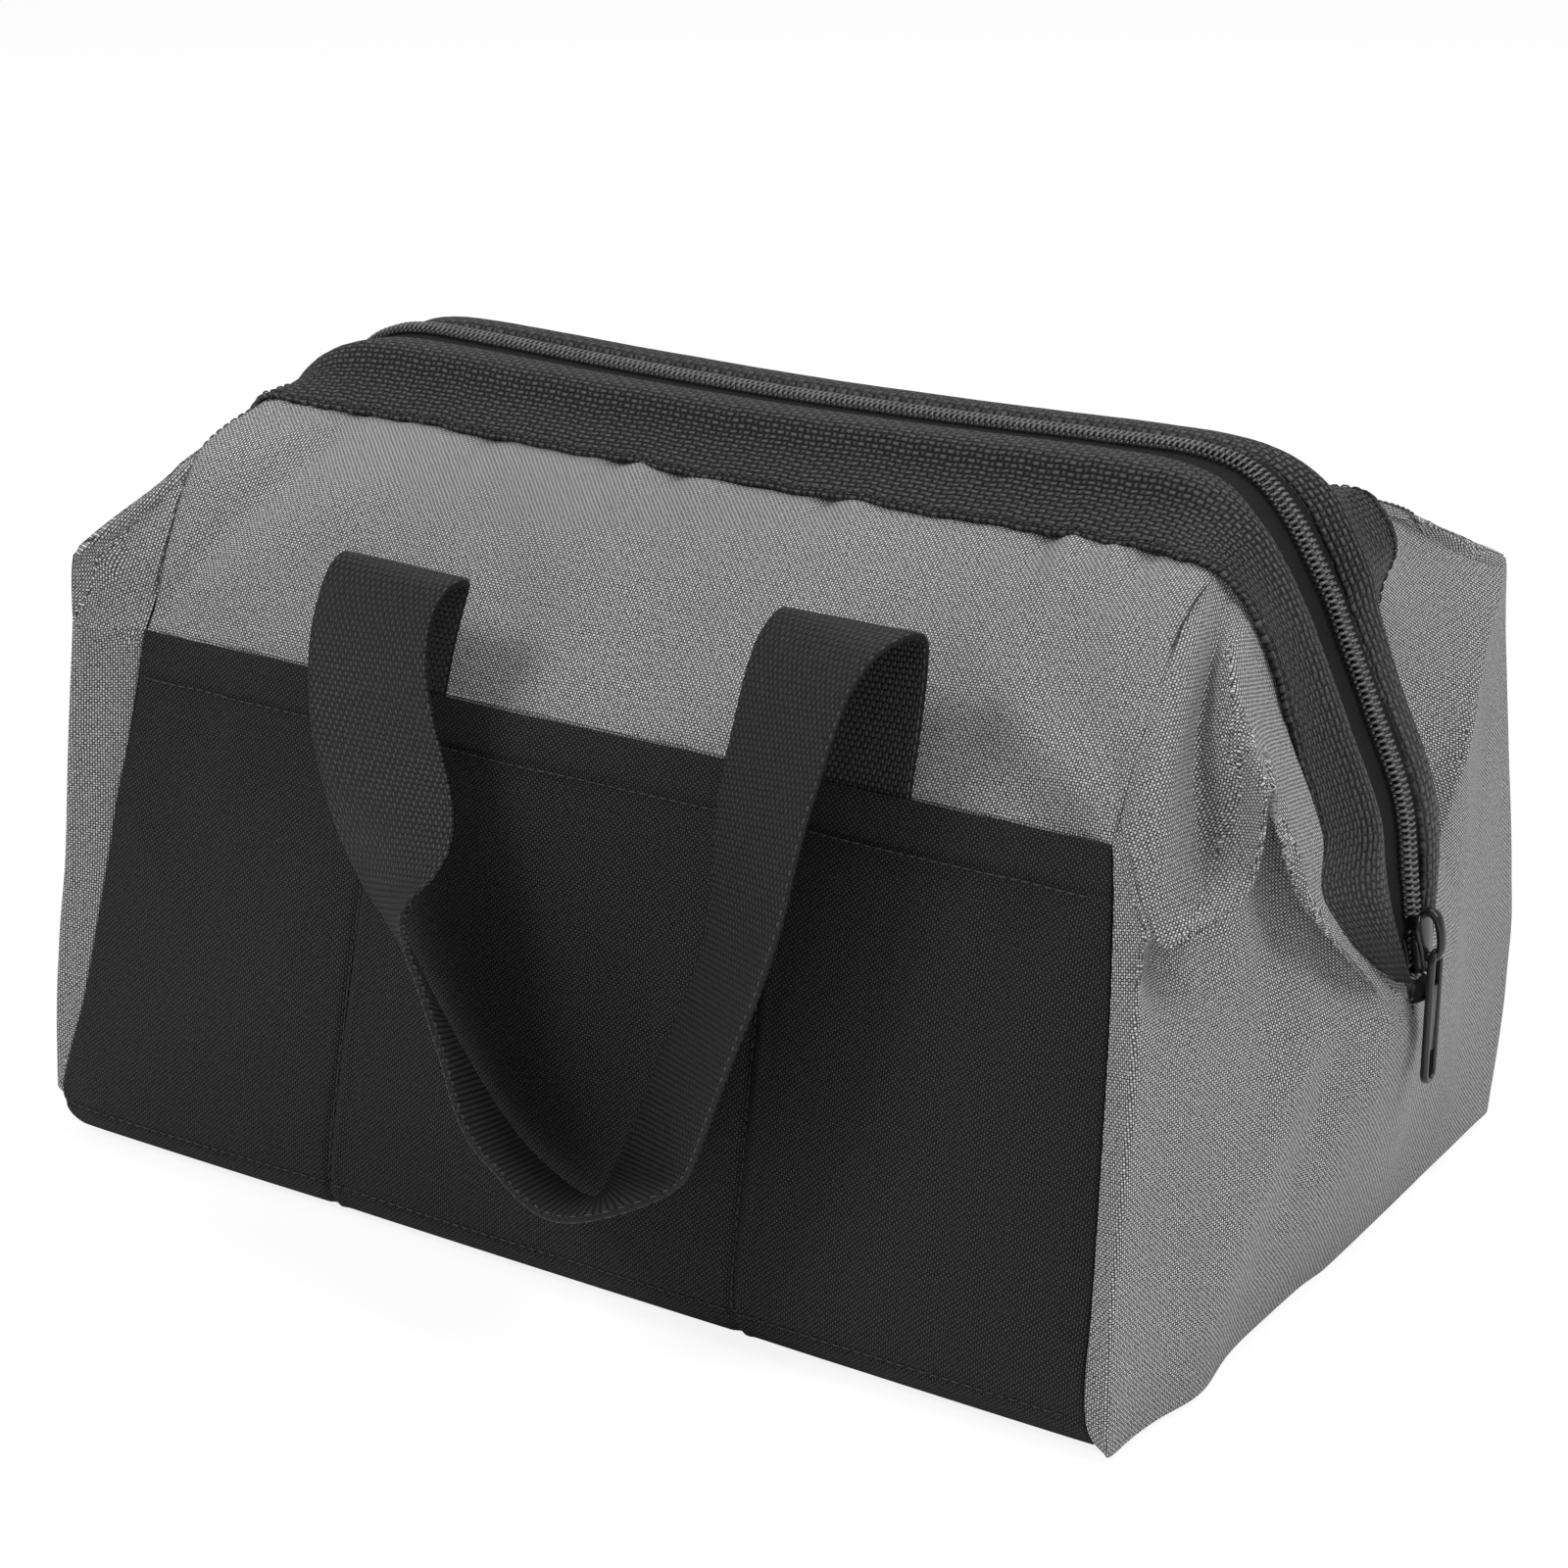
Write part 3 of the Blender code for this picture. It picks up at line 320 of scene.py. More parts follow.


# Painted light and shade in the weave: 464646 is the painted highlight on the threads' tops, 040404 the painted shade
# in the gaps.
black_oxford = woven("black_polyester_oxford", "464646", "040404", OXFORD_THREAD, OXFORD_RISE, 0.75,
                     gloss=0.25, length=0.5, under=0.5)
CORNER_RADIUS = 0.014
SIDE_STEPS = 22
CORNER_CENTRE = (HALF_LENGTH - 0.0035 - CORNER_RADIUS, HALF_DEPTH - 0.0045 - CORNER_RADIUS)
BASE_CORNERS = ((1, -1, 0.002), (1, 1, 0.004), (-1, 1, 0.002), (-1, -1, 0.011))
BASE_HEIGHT = 0.0012
quarter_steps = np.linspace(0, math.pi / 2, 13)
ring, lift = [], []
for turn, (side, end, raised) in enumerate(BASE_CORNERS):
    for angle in quarter_steps + math.pi / 2 * (turn - 1):
        ring.append((CORNER_CENTRE[0] * side + math.cos(angle) * CORNER_RADIUS,
                     CORNER_CENTRE[1] * end + math.sin(angle) * CORNER_RADIUS))
        lift.append(raised)
    next_side, next_end, next_raised = BASE_CORNERS[(turn + 1) % 4]
    for share in np.linspace(0, 1, SIDE_STEPS)[1:-1]:
        along_x = np.array((side, next_side)) * CORNER_CENTRE[0]
        along_y = np.array((end, next_end)) * CORNER_CENTRE[1]
        outer = np.array((math.cos(math.pi / 2 * turn), math.sin(math.pi / 2 * turn))) * CORNER_RADIUS
        ring.append((np.interp(share, (0, 1), along_x) + outer[0], np.interp(share, (0, 1), along_y) + outer[1]))
        lift.append(raised * max(0, 1 - share * 4) ** 2 + next_raised * max(0, share * 4 - 3) ** 2)
ring, lift = np.array(ring + ring[:1]), np.array(lift + lift[:1])
base_rows = []
for share in np.concatenate([np.linspace(0.02, 0.9, 16), np.linspace(0.92, 1.0, 8)]):
    edge_lift = np.clip((share - 0.8) / 0.2, 0, 1) ** 2
    base_rows.append(np.column_stack([ring * share, BASE_HEIGHT + edge_lift * (BASE_HEIGHT + lift)]))
base_grid = np.array(base_rows)
base_cloth = fabric("base_cloth", base_grid, black_oxford, flat=base_grid[..., :2])
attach(base_cloth, "bag")
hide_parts("bottom_panel")


def satin(name, light, dark, roughness, scale, detail=3.0, metallic=0.0, grain=0.0):
    """Smooth moulded, drawn or painted finish with a faint variation of tone and gloss. Roughness is its
    lowest and its highest, scale the size of its specks and grain their depth in metres."""
    material, tree, shader = new_material(name, {"Metallic": metallic})
    place = add_node(tree, "ShaderNodeTexCoord")
    noise = add_node(tree, "ShaderNodeTexNoise", {"Scale": scale, "Detail": detail},
                     {"Vector": place.outputs["Object"]})
    tone = add_node(tree, "ShaderNodeMix", {"data_type": "RGBA", 6: dye(dark), 7: dye(light)}, {0: noise})
    gloss = add_node(tree, "ShaderNodeMapRange", {"To Min": roughness[0], "To Max": roughness[1]}, {0: noise})
    tree.links.new(tone.outputs[2], shader.inputs["Base Color"])
    tree.links.new(gloss.outputs[0], shader.inputs["Roughness"])
    if grain:
        relief = add_node(tree, "ShaderNodeBump", {"Strength": 0.5, "Distance": grain}, {"Height": noise})
        tree.links.new(relief.outputs[0], shader.inputs["Normal"])
    return material


def finished(node, material):
    """The CAD's own shape with a better material."""
    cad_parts[node].data.materials.clear()
    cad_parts[node].data.materials.append(material)


finished("base_board", satin("grained_black_polypropylene", "2b2b2b", "1c1c1c", (0.5, 0.5), 900.0, 2.0, grain=0.0001))

# Front and back walls
# A grey woven panel with a black pocket panel sewn over it, both of 600 denier polyester. The
# pocket's top is folded over and stitched, and two upright seams make three pockets of it.

WALL_SHARES = ((0.000, 1.000), (0.090, 1.014), (0.290, 0.982), (0.610, 0.914), (1.000, 0.805))
WALL_FOOT = 0.0015
HEM_HEIGHT = 0.0125
SEAM_GAP = 0.0003
CURL_HEIGHT, CURL_DEPTH = 0.009, 0.0055
WALL_SETBACK, WALL_CLOTH = 0.0016, 0.0006
POCKET_FULLNESS = 0.0019
SEAM_STOP = 0.1285
FOOT_STITCHES = 0.0085
POCKET_ROWS, POCKET_COLUMNS = 150, 300
WALL_ROWS, WALL_COLUMNS, WALL_START = 40, 60, 0.003
FLARED_SEAM = ((0, 156.5), (3, 159.8), (7, 161.6), (13, 162.2), (24, 159.6), (44, 154.4), (95, 146.9), (140, 142.8))
PLAIN_SEAM = ((0, 154.2), (11, 152.8), (20, 152.2), (44, 151.8), (90, 149.2), (124, 145.6), (140, 142.9))
POCKET_SEAMS = ((-70.0, -60.5), (56.5, 56.5))
wall_curve = smooth_run(WALL_SHARES, 12)
# Painted light and shade in the weave: dedede is the painted highlight on the threads' tops, 303030 the painted shade
# in the gaps.
grey_oxford = woven("grey_polyester_oxford", "dedede", "303030", OXFORD_THREAD, OXFORD_RISE, 0.8, sheen=0.05)


def wall_depth(height):
    """How far the wall stands from the bag's middle plane."""
    return HALF_DEPTH * np.interp(np.asarray(height) / POCKET_HEIGHT, wall_curve[:, 0], wall_curve[:, 1])


def foot_curl(height):
    """How far the wall's foot turns in under the bag."""
    curl = np.clip((CURL_HEIGHT - np.asarray(height)) / CURL_HEIGHT, 0, 1) * 0.93
    return CURL_DEPTH * (1 - np.sqrt(1 - curl ** 2))


def seam_place(table, height):
    """How far out a side seam is."""
    curve = smooth_run(table, 8) / 1000
    return np.interp(height, curve[:, 0], curve[:, 1])


def creases(x, z, marks):
    """Height of soft folds: each runs from one point to another in millimetres, strongest where it
    starts, and has a width and a height in millimetres. Below zero it is a dent."""
    total = np.zeros_like(x)
    for x0, z0, x1, z1, width, height in marks:
        run = math.hypot(x1 - x0, z1 - z0)
        t = ((x * 1000 - x0) * (x1 - x0) + (z * 1000 - z0) * (z1 - z0)) / run ** 2
        near = np.clip(t, 0, 1)
        off = np.hypot(x * 1000 - x0 - near * (x1 - x0), z * 1000 - z0 - near * (z1 - z0))
        total += height / 1000 * np.exp(-(off / width) ** 2) * (1 - near ** 2)
    return total


def wall_grid(heights, columns, left_seam, right_seam, setback=WALL_SETBACK):
    """A plain sheet between the side seams, set back from the pockets' face."""
    heights = np.asarray(heights)[:, None]
    left, right = -seam_place(left_seam, heights) + SEAM_GAP, seam_place(right_seam, heights) - SEAM_GAP
    x = left + (right - left) * np.linspace(0, 1, columns)[None, :]
    y = foot_curl(heights) - wall_depth(heights) + setback
    return np.stack([x, y + 0 * x, heights + 0 * x], -1)


def pocket_grid(left_seam, right_seam, marks):
    """Outer face of a pocket panel: full between its seams, with its stitched hem and its folds."""
    heights = np.linspace(WALL_FOOT, POCKET_HEIGHT, POCKET_ROWS)
    grid = wall_grid(heights, POCKET_COLUMNS, left_seam, right_seam, 0)
    x, z = grid[..., 0], grid[..., 2]
    share = z / POCKET_HEIGHT
    seams = [(low + (high - low) * share) / 1000 for low, high in POCKET_SEAMS]
    edges = [x[:, :1]] + seams + [x[:, -1:]]
    relief = np.zeros_like(x)
    for left, right in zip(edges, edges[1:]):
        inside = np.clip((x - left) / (right - left), 0, 1)
        fullness = np.where((x >= left) & (x < right), np.sin(inside * math.pi) ** 0.6, 0)
        relief += fullness * POCKET_FULLNESS * np.sin(share * math.pi) ** 0.5
    below_hem = np.clip((SEAM_STOP - z) / 0.002, 0, 1)
    for seam in seams:
        relief -= 0.0009 * np.exp(-((x - seam) / 0.0010) ** 2) * below_hem
        relief += 0.0005 * np.exp(-((x - seam - 0.0028) / 0.0012) ** 2) * below_hem
    hem_line = POCKET_HEIGHT - HEM_HEIGHT
    relief += 0.0006 / (1 + np.exp(-(z - hem_line) / 0.0003))
    relief -= 0.0006 * np.exp(-((z - hem_line - 0.0014) / 0.0008) ** 2)
    relief -= 0.0005 * np.exp(-((z - FOOT_STITCHES - 0.0004 * np.sin(x * 60)) / 0.0009) ** 2)
    grid[..., 1] -= relief + creases(x, z, marks)
    return grid


front_folds = ((-150, 14, -70, 22, 8, 0.9), (-146, 96, -118, 60, 8, 1.2), (-62, 122, -90, 60, 9, 0.8),
               (56, 126, 30, 70, 9, -0.9), (138, 122, 112, 60, 8, 1.4), (122, 120, 104, 60, 7, -0.9),
               (150, 20, 90, 30, 9, 0.8), (-20, 128, -30, 60, 12, 0.9), (20, 20, 90, 12, 10, 0.7),
               (-120, 130, -128, 90, 7, -0.9))
back_folds = ((-140, 20, -80, 40, 10, 0.9), (-20, 126, 0, 70, 12, 0.9), (60, 120, 80, 70, 9, -0.8),
              (142, 100, 120, 50, 9, 1.1), (-130, 120, -110, 70, 9, 1.0))
front_pocket_grid = pocket_grid(FLARED_SEAM, PLAIN_SEAM, front_folds)
back_pocket_grid = pocket_grid(PLAIN_SEAM, PLAIN_SEAM, back_folds)
front_pockets = fabric("front_pockets", turned_in(front_pocket_grid), black_oxford)
back_blank = fabric("back_pockets_blank", turned_in(back_pocket_grid), black_oxford)
back_pockets = turned(back_blank, "back_pockets", keep=False)
wall_heights = np.linspace(WALL_START, POCKET_HEIGHT, WALL_ROWS)
front_wall, back_blank = (
    fabric(name, wall_grid(wall_heights, WALL_COLUMNS, left_seam, PLAIN_SEAM), grey_oxford, WALL_CLOTH)
    for name, left_seam in (("front_wall", FLARED_SEAM), ("back_wall_blank", PLAIN_SEAM)))
back_wall = turned(back_blank, "back_wall", keep=False)
for side, pocket_piece, wall_piece in (("front", front_pockets, front_wall), ("back", back_pockets, back_wall)):
    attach(pocket_piece, "bag")
    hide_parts(side + "_pocket_panel", side + "_pocket_hem")
    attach(wall_piece, "bag")
    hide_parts(side + "_panel")

# Mouth webbing
# Black polypropylene webbing folded over the cloth's edge on each side of the mouth, with a sprung
# steel wire in the fold. It is stitched along its lower edge, which waves where the cloth pulls.

HINGE_REACH = 0.181
HINGE_HEIGHT = 0.084
BAND_REACH = 0.037
BAND_LAYER = 0.0015
TAPE_REACH = 0.0120
FOOT_REACH = 0.0040
MOUTH_SHARES = (
    (0.000, 0.9933, 0.000, 0.850, 0.8519),
    (0.276, 0.9983, 0.276, 0.850, 0.8570),
    (0.525, 1.0084, 0.525, 0.865, 0.8620),
    (0.652, 1.0050, 0.648, 0.890, 0.8654),
    (0.729, 0.9714, 0.718, 0.945, 0.8670),
    (0.784, 0.8906, 0.779, 0.985, 0.8570),
    (0.834, 0.7644, 0.840, 1.000, 0.7644),
    (0.865, 0.6735, 0.868, 1.000, 0.6668),
    (0.909, 0.5456, 0.892, 1.000, 0.5372),
    (0.961, 0.3740, 0.922, 1.000, 0.3740),
    (0.980, 0.2124, 0.936, 1.000, 0.2343),
    (1.000, 0.0080, 0.990, 0.250, 0.0250),
)
TILTED_IN = ((0, 0, 0), (0.005, 0, 0), (0.011, 0, 0), (0.013, 0, 0), (0.008, 0, 0.001), (-0.001, 0, 0.003),
             (-0.0043, 0, 0.0022), (-0.001, 0, 0.0005))
ZIP_RISE = ((0, 2, 3.5, 5, 6.2, 7.4, 8.2, 11), (-0.0008, -0.0007, 0.0002, 0.0009, 0.0018, 0.0012, 0.0006, 0.0003))
EDGE_DROP, DROP_STOPS, DROP_FADE = 0.0010, 9.9, 1.6
WIRE_BULGE, WIRE_SHARE, WIRE_SPREAD = 0.0032, 0.26, 0.17
MAP_WIDTH, INNER_MAP = 0.02, 0.03
RUN_STEPS = 36
THIN_STATIONS, THINNEST = 1.75, 0.55
LAST = len(MOUTH_SHARES) - 1
EDGE_PULLS = ((5.6, 1.2, 0.5), (6.9, 1.6, 0.7), (8.2, 2.6, 0.8), (9.1, 3.4, 0.6), (3.2, 0.6, 0.3), (2.2, 0.5, 0.2),
              (0.7, 0.5, 0.2), (-0.6, 0.4, 0.2), (-2.0, 0.5, 0.3), (-5.6, 1.0, 0.5), (-7.4, 1.4, 0.6), (-8.8, 1.8, 0.6))


def mouth_run(steps):
    """Zip centre, webbing's edges and tape's reach along the whole mouth, left foot to right foot."""
    rows = []
    rise = MOUTH_HEIGHT - HINGE_HEIGHT
    for index, (reach, height, edge_reach, edge_depth, edge_height) in enumerate(MOUTH_SHARES):
        rows.append((HINGE_REACH * reach, 0, HINGE_HEIGHT + rise * height, HINGE_REACH * edge_reach,
                     -BAND_REACH * edge_depth, HINGE_HEIGHT + rise * edge_height,
                     FOOT_REACH if index == LAST else TAPE_REACH))
    rows = np.array(rows)
    left = rows[:0:-1] * (-1, 1, 1, -1, 1, 1, 1)
    left[:len(TILTED_IN), 3:6] += TILTED_IN
    run = smooth_run(np.concatenate([left, rows]), steps)
    centre, outer, reach = run[:, :3], run[:, 3:6], run[:, 6:]
    along = unit(np.gradient(centre, axis=0))
    place = np.linspace(-LAST, LAST, len(run))
    out = np.stack([-along[:, 2], 0 * along[:, 1], along[:, 0]], -1)
    dropped = EDGE_DROP * np.clip((DROP_STOPS - np.abs(place)) / DROP_FADE, 0, 1)[:, None]
    upper = centre + reach * (0, -1, 0) - out * dropped
    down = outer - upper
    width = np.linalg.norm(down, axis=1, keepdims=True)
    down /= width
    pulls = sum(amount / 1000 * np.exp(-((place - where) / spread) ** 2) for where, amount, spread in EDGE_PULLS)
    ripple = 0.00022 * np.sin(place * 9.1) + 0.00015 * np.sin(place * 23.7 + 1)
    return {"place": place, "centre": centre, "reach": reach, "upper": upper, "down": down, "out": out,
            "width": width - (pulls + ripple)[:, None], "face": unit(np.cross(down, along)),
            "rise": np.interp(np.abs(place), *ZIP_RISE)[:, None]}


def read_at(marks, places, values):
    """Values that are given at places of a line, read at marks between them."""
    return np.stack([np.interp(marks, places, column) for column in values.T], -1)


def travelled(line):
    """Length of the way to each point of a line."""
    return np.concatenate([[0], np.cumsum(np.linalg.norm(np.diff(line, axis=0), axis=1))])


run = mouth_run(RUN_STEPS)


def band_at(places, share, lift):
    """Points on or below the webbing: where along the mouth, how far down its width, how far off its face."""
    upper, down, width, face = (read_at(places, run["place"], run[key]) for key in ("upper", "down", "width", "face"))
    return upper + down * width * share + face * lift


def to_end(count):
    """Steps from each of a run's points to the nearer foot of the mouth."""
    return np.minimum(np.arange(count), np.arange(count)[::-1])[:, None]


def loft(rings, closed=False):
    """Corner points and faces of a skin over rings of points; its ends are closed unless it is a loop."""
    rings = np.asarray(rings)
    index = np.arange(rings.shape[0] * rings.shape[1]).reshape(rings.shape[:2])
    if closed:
        index = np.concatenate([index, index[:1]])
    after = np.roll(index, -1, axis=1)
    faces = np.stack([index[:-1], after[:-1], after[1:], index[1:]], -1).reshape(-1, 4).tolist()
    if not closed:
        faces += [index[0][::-1].tolist(), index[-1].tolist()]
    return rings.reshape(-1, 3), faces


def tube(name, lines, mapped, material):
    """Closed body with its skin drawn over lines that run side by side along it, each with its map."""
    grid, flat = (np.array(rows + rows[:1])[::-1].transpose(1, 0, 2) for rows in (lines, mapped))
    mesh = smooth_mesh(name, *loft(grid[:, :-1]), material)
    corner_flat = np.stack([flat[:-1, :-1], flat[:-1, 1:], flat[1:, 1:], flat[1:, :-1]], 2).reshape(-1, 2)
    ends = np.concatenate([flat[0, :-1][::-1], flat[-1, :-1]])
    layer = mesh.uv_layers.new(name="cloth")
    layer.data.foreach_set("uv", np.concatenate([corner_flat, ends]).astype(np.float32).ravel())
    return placed(name, mesh)


# Painted light and shade in the weave: 4a4a4a is the painted highlight on the threads' tops, 040404 the painted shade
# in the gaps.
mouth_webbing = woven("black_polypropylene_binding", "4a4a4a", "040404", 0.00098, 0.0005, 0.5,
                      gloss=0.35, length=0.3, stretch=2.0)
BEAD = ((1.0, -0.2), (0.985, 0.2), (0.96, 0.3), (0.93, 0.2), (0.905, 0.1), (0.88, 0.2), (0.80, 0.3), (0.62, 0.3),
        (0.44, 0.2), (0.34, 0.2), (0.29, 0.2), (0.25, 0.3), (0.19, 0.5), (0.12, 0.5), (0.05, 0.0), (0.0, -0.8),
        (-0.03, -2.0), (-0.02, -3.6), (0.02, -5.0), (0.08, -6.1), (0.20, -6.4), (0.75, -6.4), (0.75, -5.0),
        (0.22, -4.9), (0.10, -4.4), (0.06, -3.4), (0.05, -2.2), (0.10, -1.6), (0.20, -1.4), (0.60, -1.5),
        (0.97, -1.5), (1.0, -1.2))
count = len(run["centre"])
thin = np.clip(to_end(count) / (RUN_STEPS * THIN_STATIONS), 0, 1)
travel = travelled(run["centre"])
sections, mapped = [], []
for share, lift in np.array(BEAD) * (1, 0.001):
    over_wire = WIRE_BULGE * math.exp(-((share - WIRE_SHARE) / WIRE_SPREAD) ** 2) * thin
    lift_here = (lift + over_wire if lift > -BAND_LAYER * 1.4 else
                 -BAND_LAYER - (-lift - BAND_LAYER) * (THINNEST + (1 - THINNEST) * thin))
    sections.append(run["upper"] + run["down"] * run["width"] * share + run["face"] * lift_here)
    mapped.append(np.stack([travel, np.full(count, share * MAP_WIDTH + (INNER_MAP if lift < -0.0055 else 0))], -1))
front_band = tube("front_webbing_band", sections, mapped, mouth_webbing)
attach(front_band, "front_mouth")
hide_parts("front_mouth_webbing")
back_band = turned(front_band, "back_webbing_band")
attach(back_band, "back_mouth")
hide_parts("back_mouth_webbing")
spring_steel = satin("drawn_spring_steel", "b4b4b6", "8a8a8c", (0.25, 0.45), 400.0, 2.0, metallic=1.0)
for node in ("front_frame_wire", "back_frame_wire"):
    finished(node, spring_steel)

# Slopes
# Grey cloth runs from behind the pockets' hem up under the mouth's webbing on each long side. It
# stands a little full between its seams, and short puckers hang from the stitches of the webbing.

UNDER_EDGE = 0.88
UNDER_LIFT = -0.0022
LEFT_SEAM_RUN = ((-142.8, -88.2, 136.8), (-142.9, -88.2, 140.0), (-143.0, -84.4, 146.0), (-143.6, -80.0, 155.5),
                 (-144.8, -73.5, 165.2), (-146.4, -66.4, 173.4), (-147.8, -57.2, 181.2), (-146.4, -46.0, 186.4))
RIGHT_SEAM_RUN = ((142.9, -88.2, 136.8), (142.9, -88.2, 140.0), (143.0, -85.4, 144.8), (143.3, -81.8, 153.2),
                  (143.1, -76.2, 161.0), (142.2, -68.4, 168.6), (140.8, -58.6, 176.8), (140.0, -47.0, 183.9))
SEAM_TOP = 5.0
SEAM_PULL = 0.075
SLOPE_FULLNESS = 0.0058
PUCKER_DEPTH = 1.15
SLOPE_STEPS = 8
SLOPE_COLUMNS = 240
left_side, right_side = (
    smooth_run(np.concatenate([np.array(points) / 1000, band_at(np.array([top]), UNDER_EDGE, UNDER_LIFT)]), SLOPE_STEPS)
    for points, top in ((LEFT_SEAM_RUN, -SEAM_TOP), (RIGHT_SEAM_RUN, SEAM_TOP)))
middle = np.abs(run["place"]) <= SEAM_TOP
across = np.linspace(left_side[-1, 0], right_side[-1, 0], SLOPE_COLUMNS)
top_places = np.interp(across, band_at(run["place"][middle], UNDER_EDGE, UNDER_LIFT)[:, 0], run["place"][middle])
slope_top = band_at(top_places, UNDER_EDGE, UNDER_LIFT)
slope_foot = left_side[0] + (right_side[0] - left_side[0]) * np.linspace(0, 1, SLOPE_COLUMNS)[:, None]
grown = sum(travelled(side) / travelled(side)[-1] for side in (left_side, right_side)) / 2
slope_grid = slope_foot + (slope_top - slope_foot) * grown[:, None, None]
on_left = slope_grid[..., 0] < 0
reach = np.abs(slope_grid[..., 0] - np.where(on_left, slope_grid[:, :1, 0], slope_grid[:, -1:, 0]))
nearness = np.clip(1 - reach / SEAM_PULL, 0, 1)[..., None] ** 2
pull = np.where(on_left[..., None], (left_side - slope_grid[:, 0])[:, None], (right_side - slope_grid[:, -1])[:, None])
slope_grid = slope_grid + pull * nearness
away = 1 - nearness[..., 0]
fullness = SLOPE_FULLNESS * np.sin(grown ** 1.25 * math.pi)[:, None] ** 0.9 * away
puckers = ((-148, 176, -118, 182, 9, 1.8), (-118, 181, -142, 146, 6, -2.2), (-100, 170, -132, 150, 9, 1.6),
           (-140, 141, -118, 146, 5, -0.8), (-72, 186, -76, 172, 4, -0.8), (-31, 189, -36, 176, 3.5, -1.2),
           (-24, 188, -22, 176, 3, 0.8), (-13, 190, -12, 178, 3, -1.2), (-4, 188, -4, 170, 6, 0.8),
           (32, 190, 30, 178, 3, -1.3), (40, 188, 46, 170, 5, 0.7), (94, 189, 92, 178, 3, -1.4),
           (101, 188, 104, 176, 3.5, 0.8), (121, 190, 122, 178, 3.5, -1.2), (112, 188, 112, 176, 3.5, 0.8),
           (-58, 172, -24, 144, 8, -1.4), (-30, 176, 0, 150, 12, 0.9), (142, 142, 84, 170, 6, 2.0),
           (136, 139, 96, 152, 7, -1.8), (76, 176, 60, 150, 7, -0.8), (140, 152, 136, 160, 3, -1.0),
           (30, 150, 60, 142, 8, 0.8), (126, 176, 130, 160, 6, 0.9), (-141, 146, -126, 168, 5, -1.7))
puckered = PUCKER_DEPTH * creases(slope_grid[..., 0], slope_grid[..., 2], puckers) * np.minimum(1, 0.35 + 6 * away)
slope_grid = slope_grid + outward(slope_grid) * (fullness + puckered)[..., None]
front_slope = fabric("front_slope_cloth", turned_in(slope_grid), grey_oxford)
back_slope = turned(front_slope, "back_slope_cloth")
for slope, node, mouth, side in ((front_slope, "front_slope", "front_mouth", 1),
                                 (back_slope, "back_slope", "back_mouth", -1)):
    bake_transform(slope)
    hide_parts(node)

# Ends
# One grey woven panel closes each end. It wraps round the corner to the side seam and has a crease
# there. It isn't stiff, so it stands a little full and lies in soft folds.

COLUMN_STEPS = 8
END_HALF_SHARES = ((0.884, 0.500, 0.018), (0.906, 0.510, 0.240), (0.930, 0.490, 0.560),
                   (0.938, 0.475, 0.820), (0.936, 0.460, 1.020))
END_MIDDLE_SHARES = ((0.884, 0.000, 0.018), (0.930, 0.000, 0.240), (0.980, 0.000, 0.600),
                     (0.998, 0.000, 0.800), (0.995, 0.000, 0.895))
SLUMPED_CREASE = ((159.5, -111.0, 1.5), (159.0, -111.0, 33), (158.5, -106.0, 68), (157.5, -100.5, 98),
                  (156.0, -95.4, 121.5))
STANDING_CREASE = ((160.5, -103.5, 3.5), (162.5, -105.0, 38), (161.5, -105.5, 75), (158.7, -104.0, 110),
                   (156.5, -101.5, 141.7))
FLARED_CREASE = ((166.0, -108.5, 11.5), (165.0, -108.0, 40), (161.5, -105.5, 75), (158.6, -104.0, 110),
                 (156.5, -101.5, 141.7))
TURN_UNDER = (0.952, 0.950, 0)
across_back = np.array([1, -1, 1])


def smooth_net(net, row_steps):
    """A net of points made smooth across its columns and then along its rows."""
    return smooth_run(smooth_run(net.transpose(1, 0, 2), COLUMN_STEPS).transpose(1, 0, 2), row_steps)


def end_panel(front_seam, front_crease, back_seam, back_crease, marks):
    """Outer face of an end panel, from the front side seam round to the back one."""
    levels = []
    for level, (near, far) in enumerate(zip(front_crease, back_crease)):
        height = WALL_FOOT + (POCKET_HEIGHT - WALL_FOOT) * level / (len(front_crease) - 1)
        sides = []
        for table, crease in ((front_seam, near), (back_seam, far)):
            raised = max(height, min(crease[2], 12) / 1000 if level == 0 else 0)
            seam = np.array((seam_place(table, raised) + SEAM_GAP, foot_curl(raised) - wall_depth(raised), raised))
            crease = np.array(crease) / 1000
            sides.append([seam, (seam + crease) / 2 + (0.0004, -0.0006, 0), crease])
        half_way, middle_point = (np.array(shares[level]) * (HINGE_REACH, -HALF_DEPTH, HINGE_HEIGHT)
                                  for shares in (END_HALF_SHARES, END_MIDDLE_SHARES))
        front, back = np.array(sides[0]), np.array(sides[1]) * across_back
        inner = smooth_run([front[2], half_way, middle_point, half_way * across_back, back[2]], 4)
        levels.append(np.concatenate([front[:2], inner, back[1::-1]]))
    grid = smooth_net(np.array(levels), 24)
    grid = grid + outward(grid) * creases(grid[..., 1], grid[..., 2], marks)[..., None]
    fade = np.clip(1 - np.arange(grid.shape[1]) / (2 * COLUMN_STEPS), 0, 1)[:, None]
    for column, table, side, near in ((0, front_seam, 1, fade), (-1, back_seam, -1, fade[::-1])):
        height = grid[:, column, 2]
        depth = (foot_curl(height) - wall_depth(height)) * side
        seam = np.stack([seam_place(table, height) + SEAM_GAP, depth, height], -1)
        grid += (seam - grid[:, column])[:, None] * near
    return grid


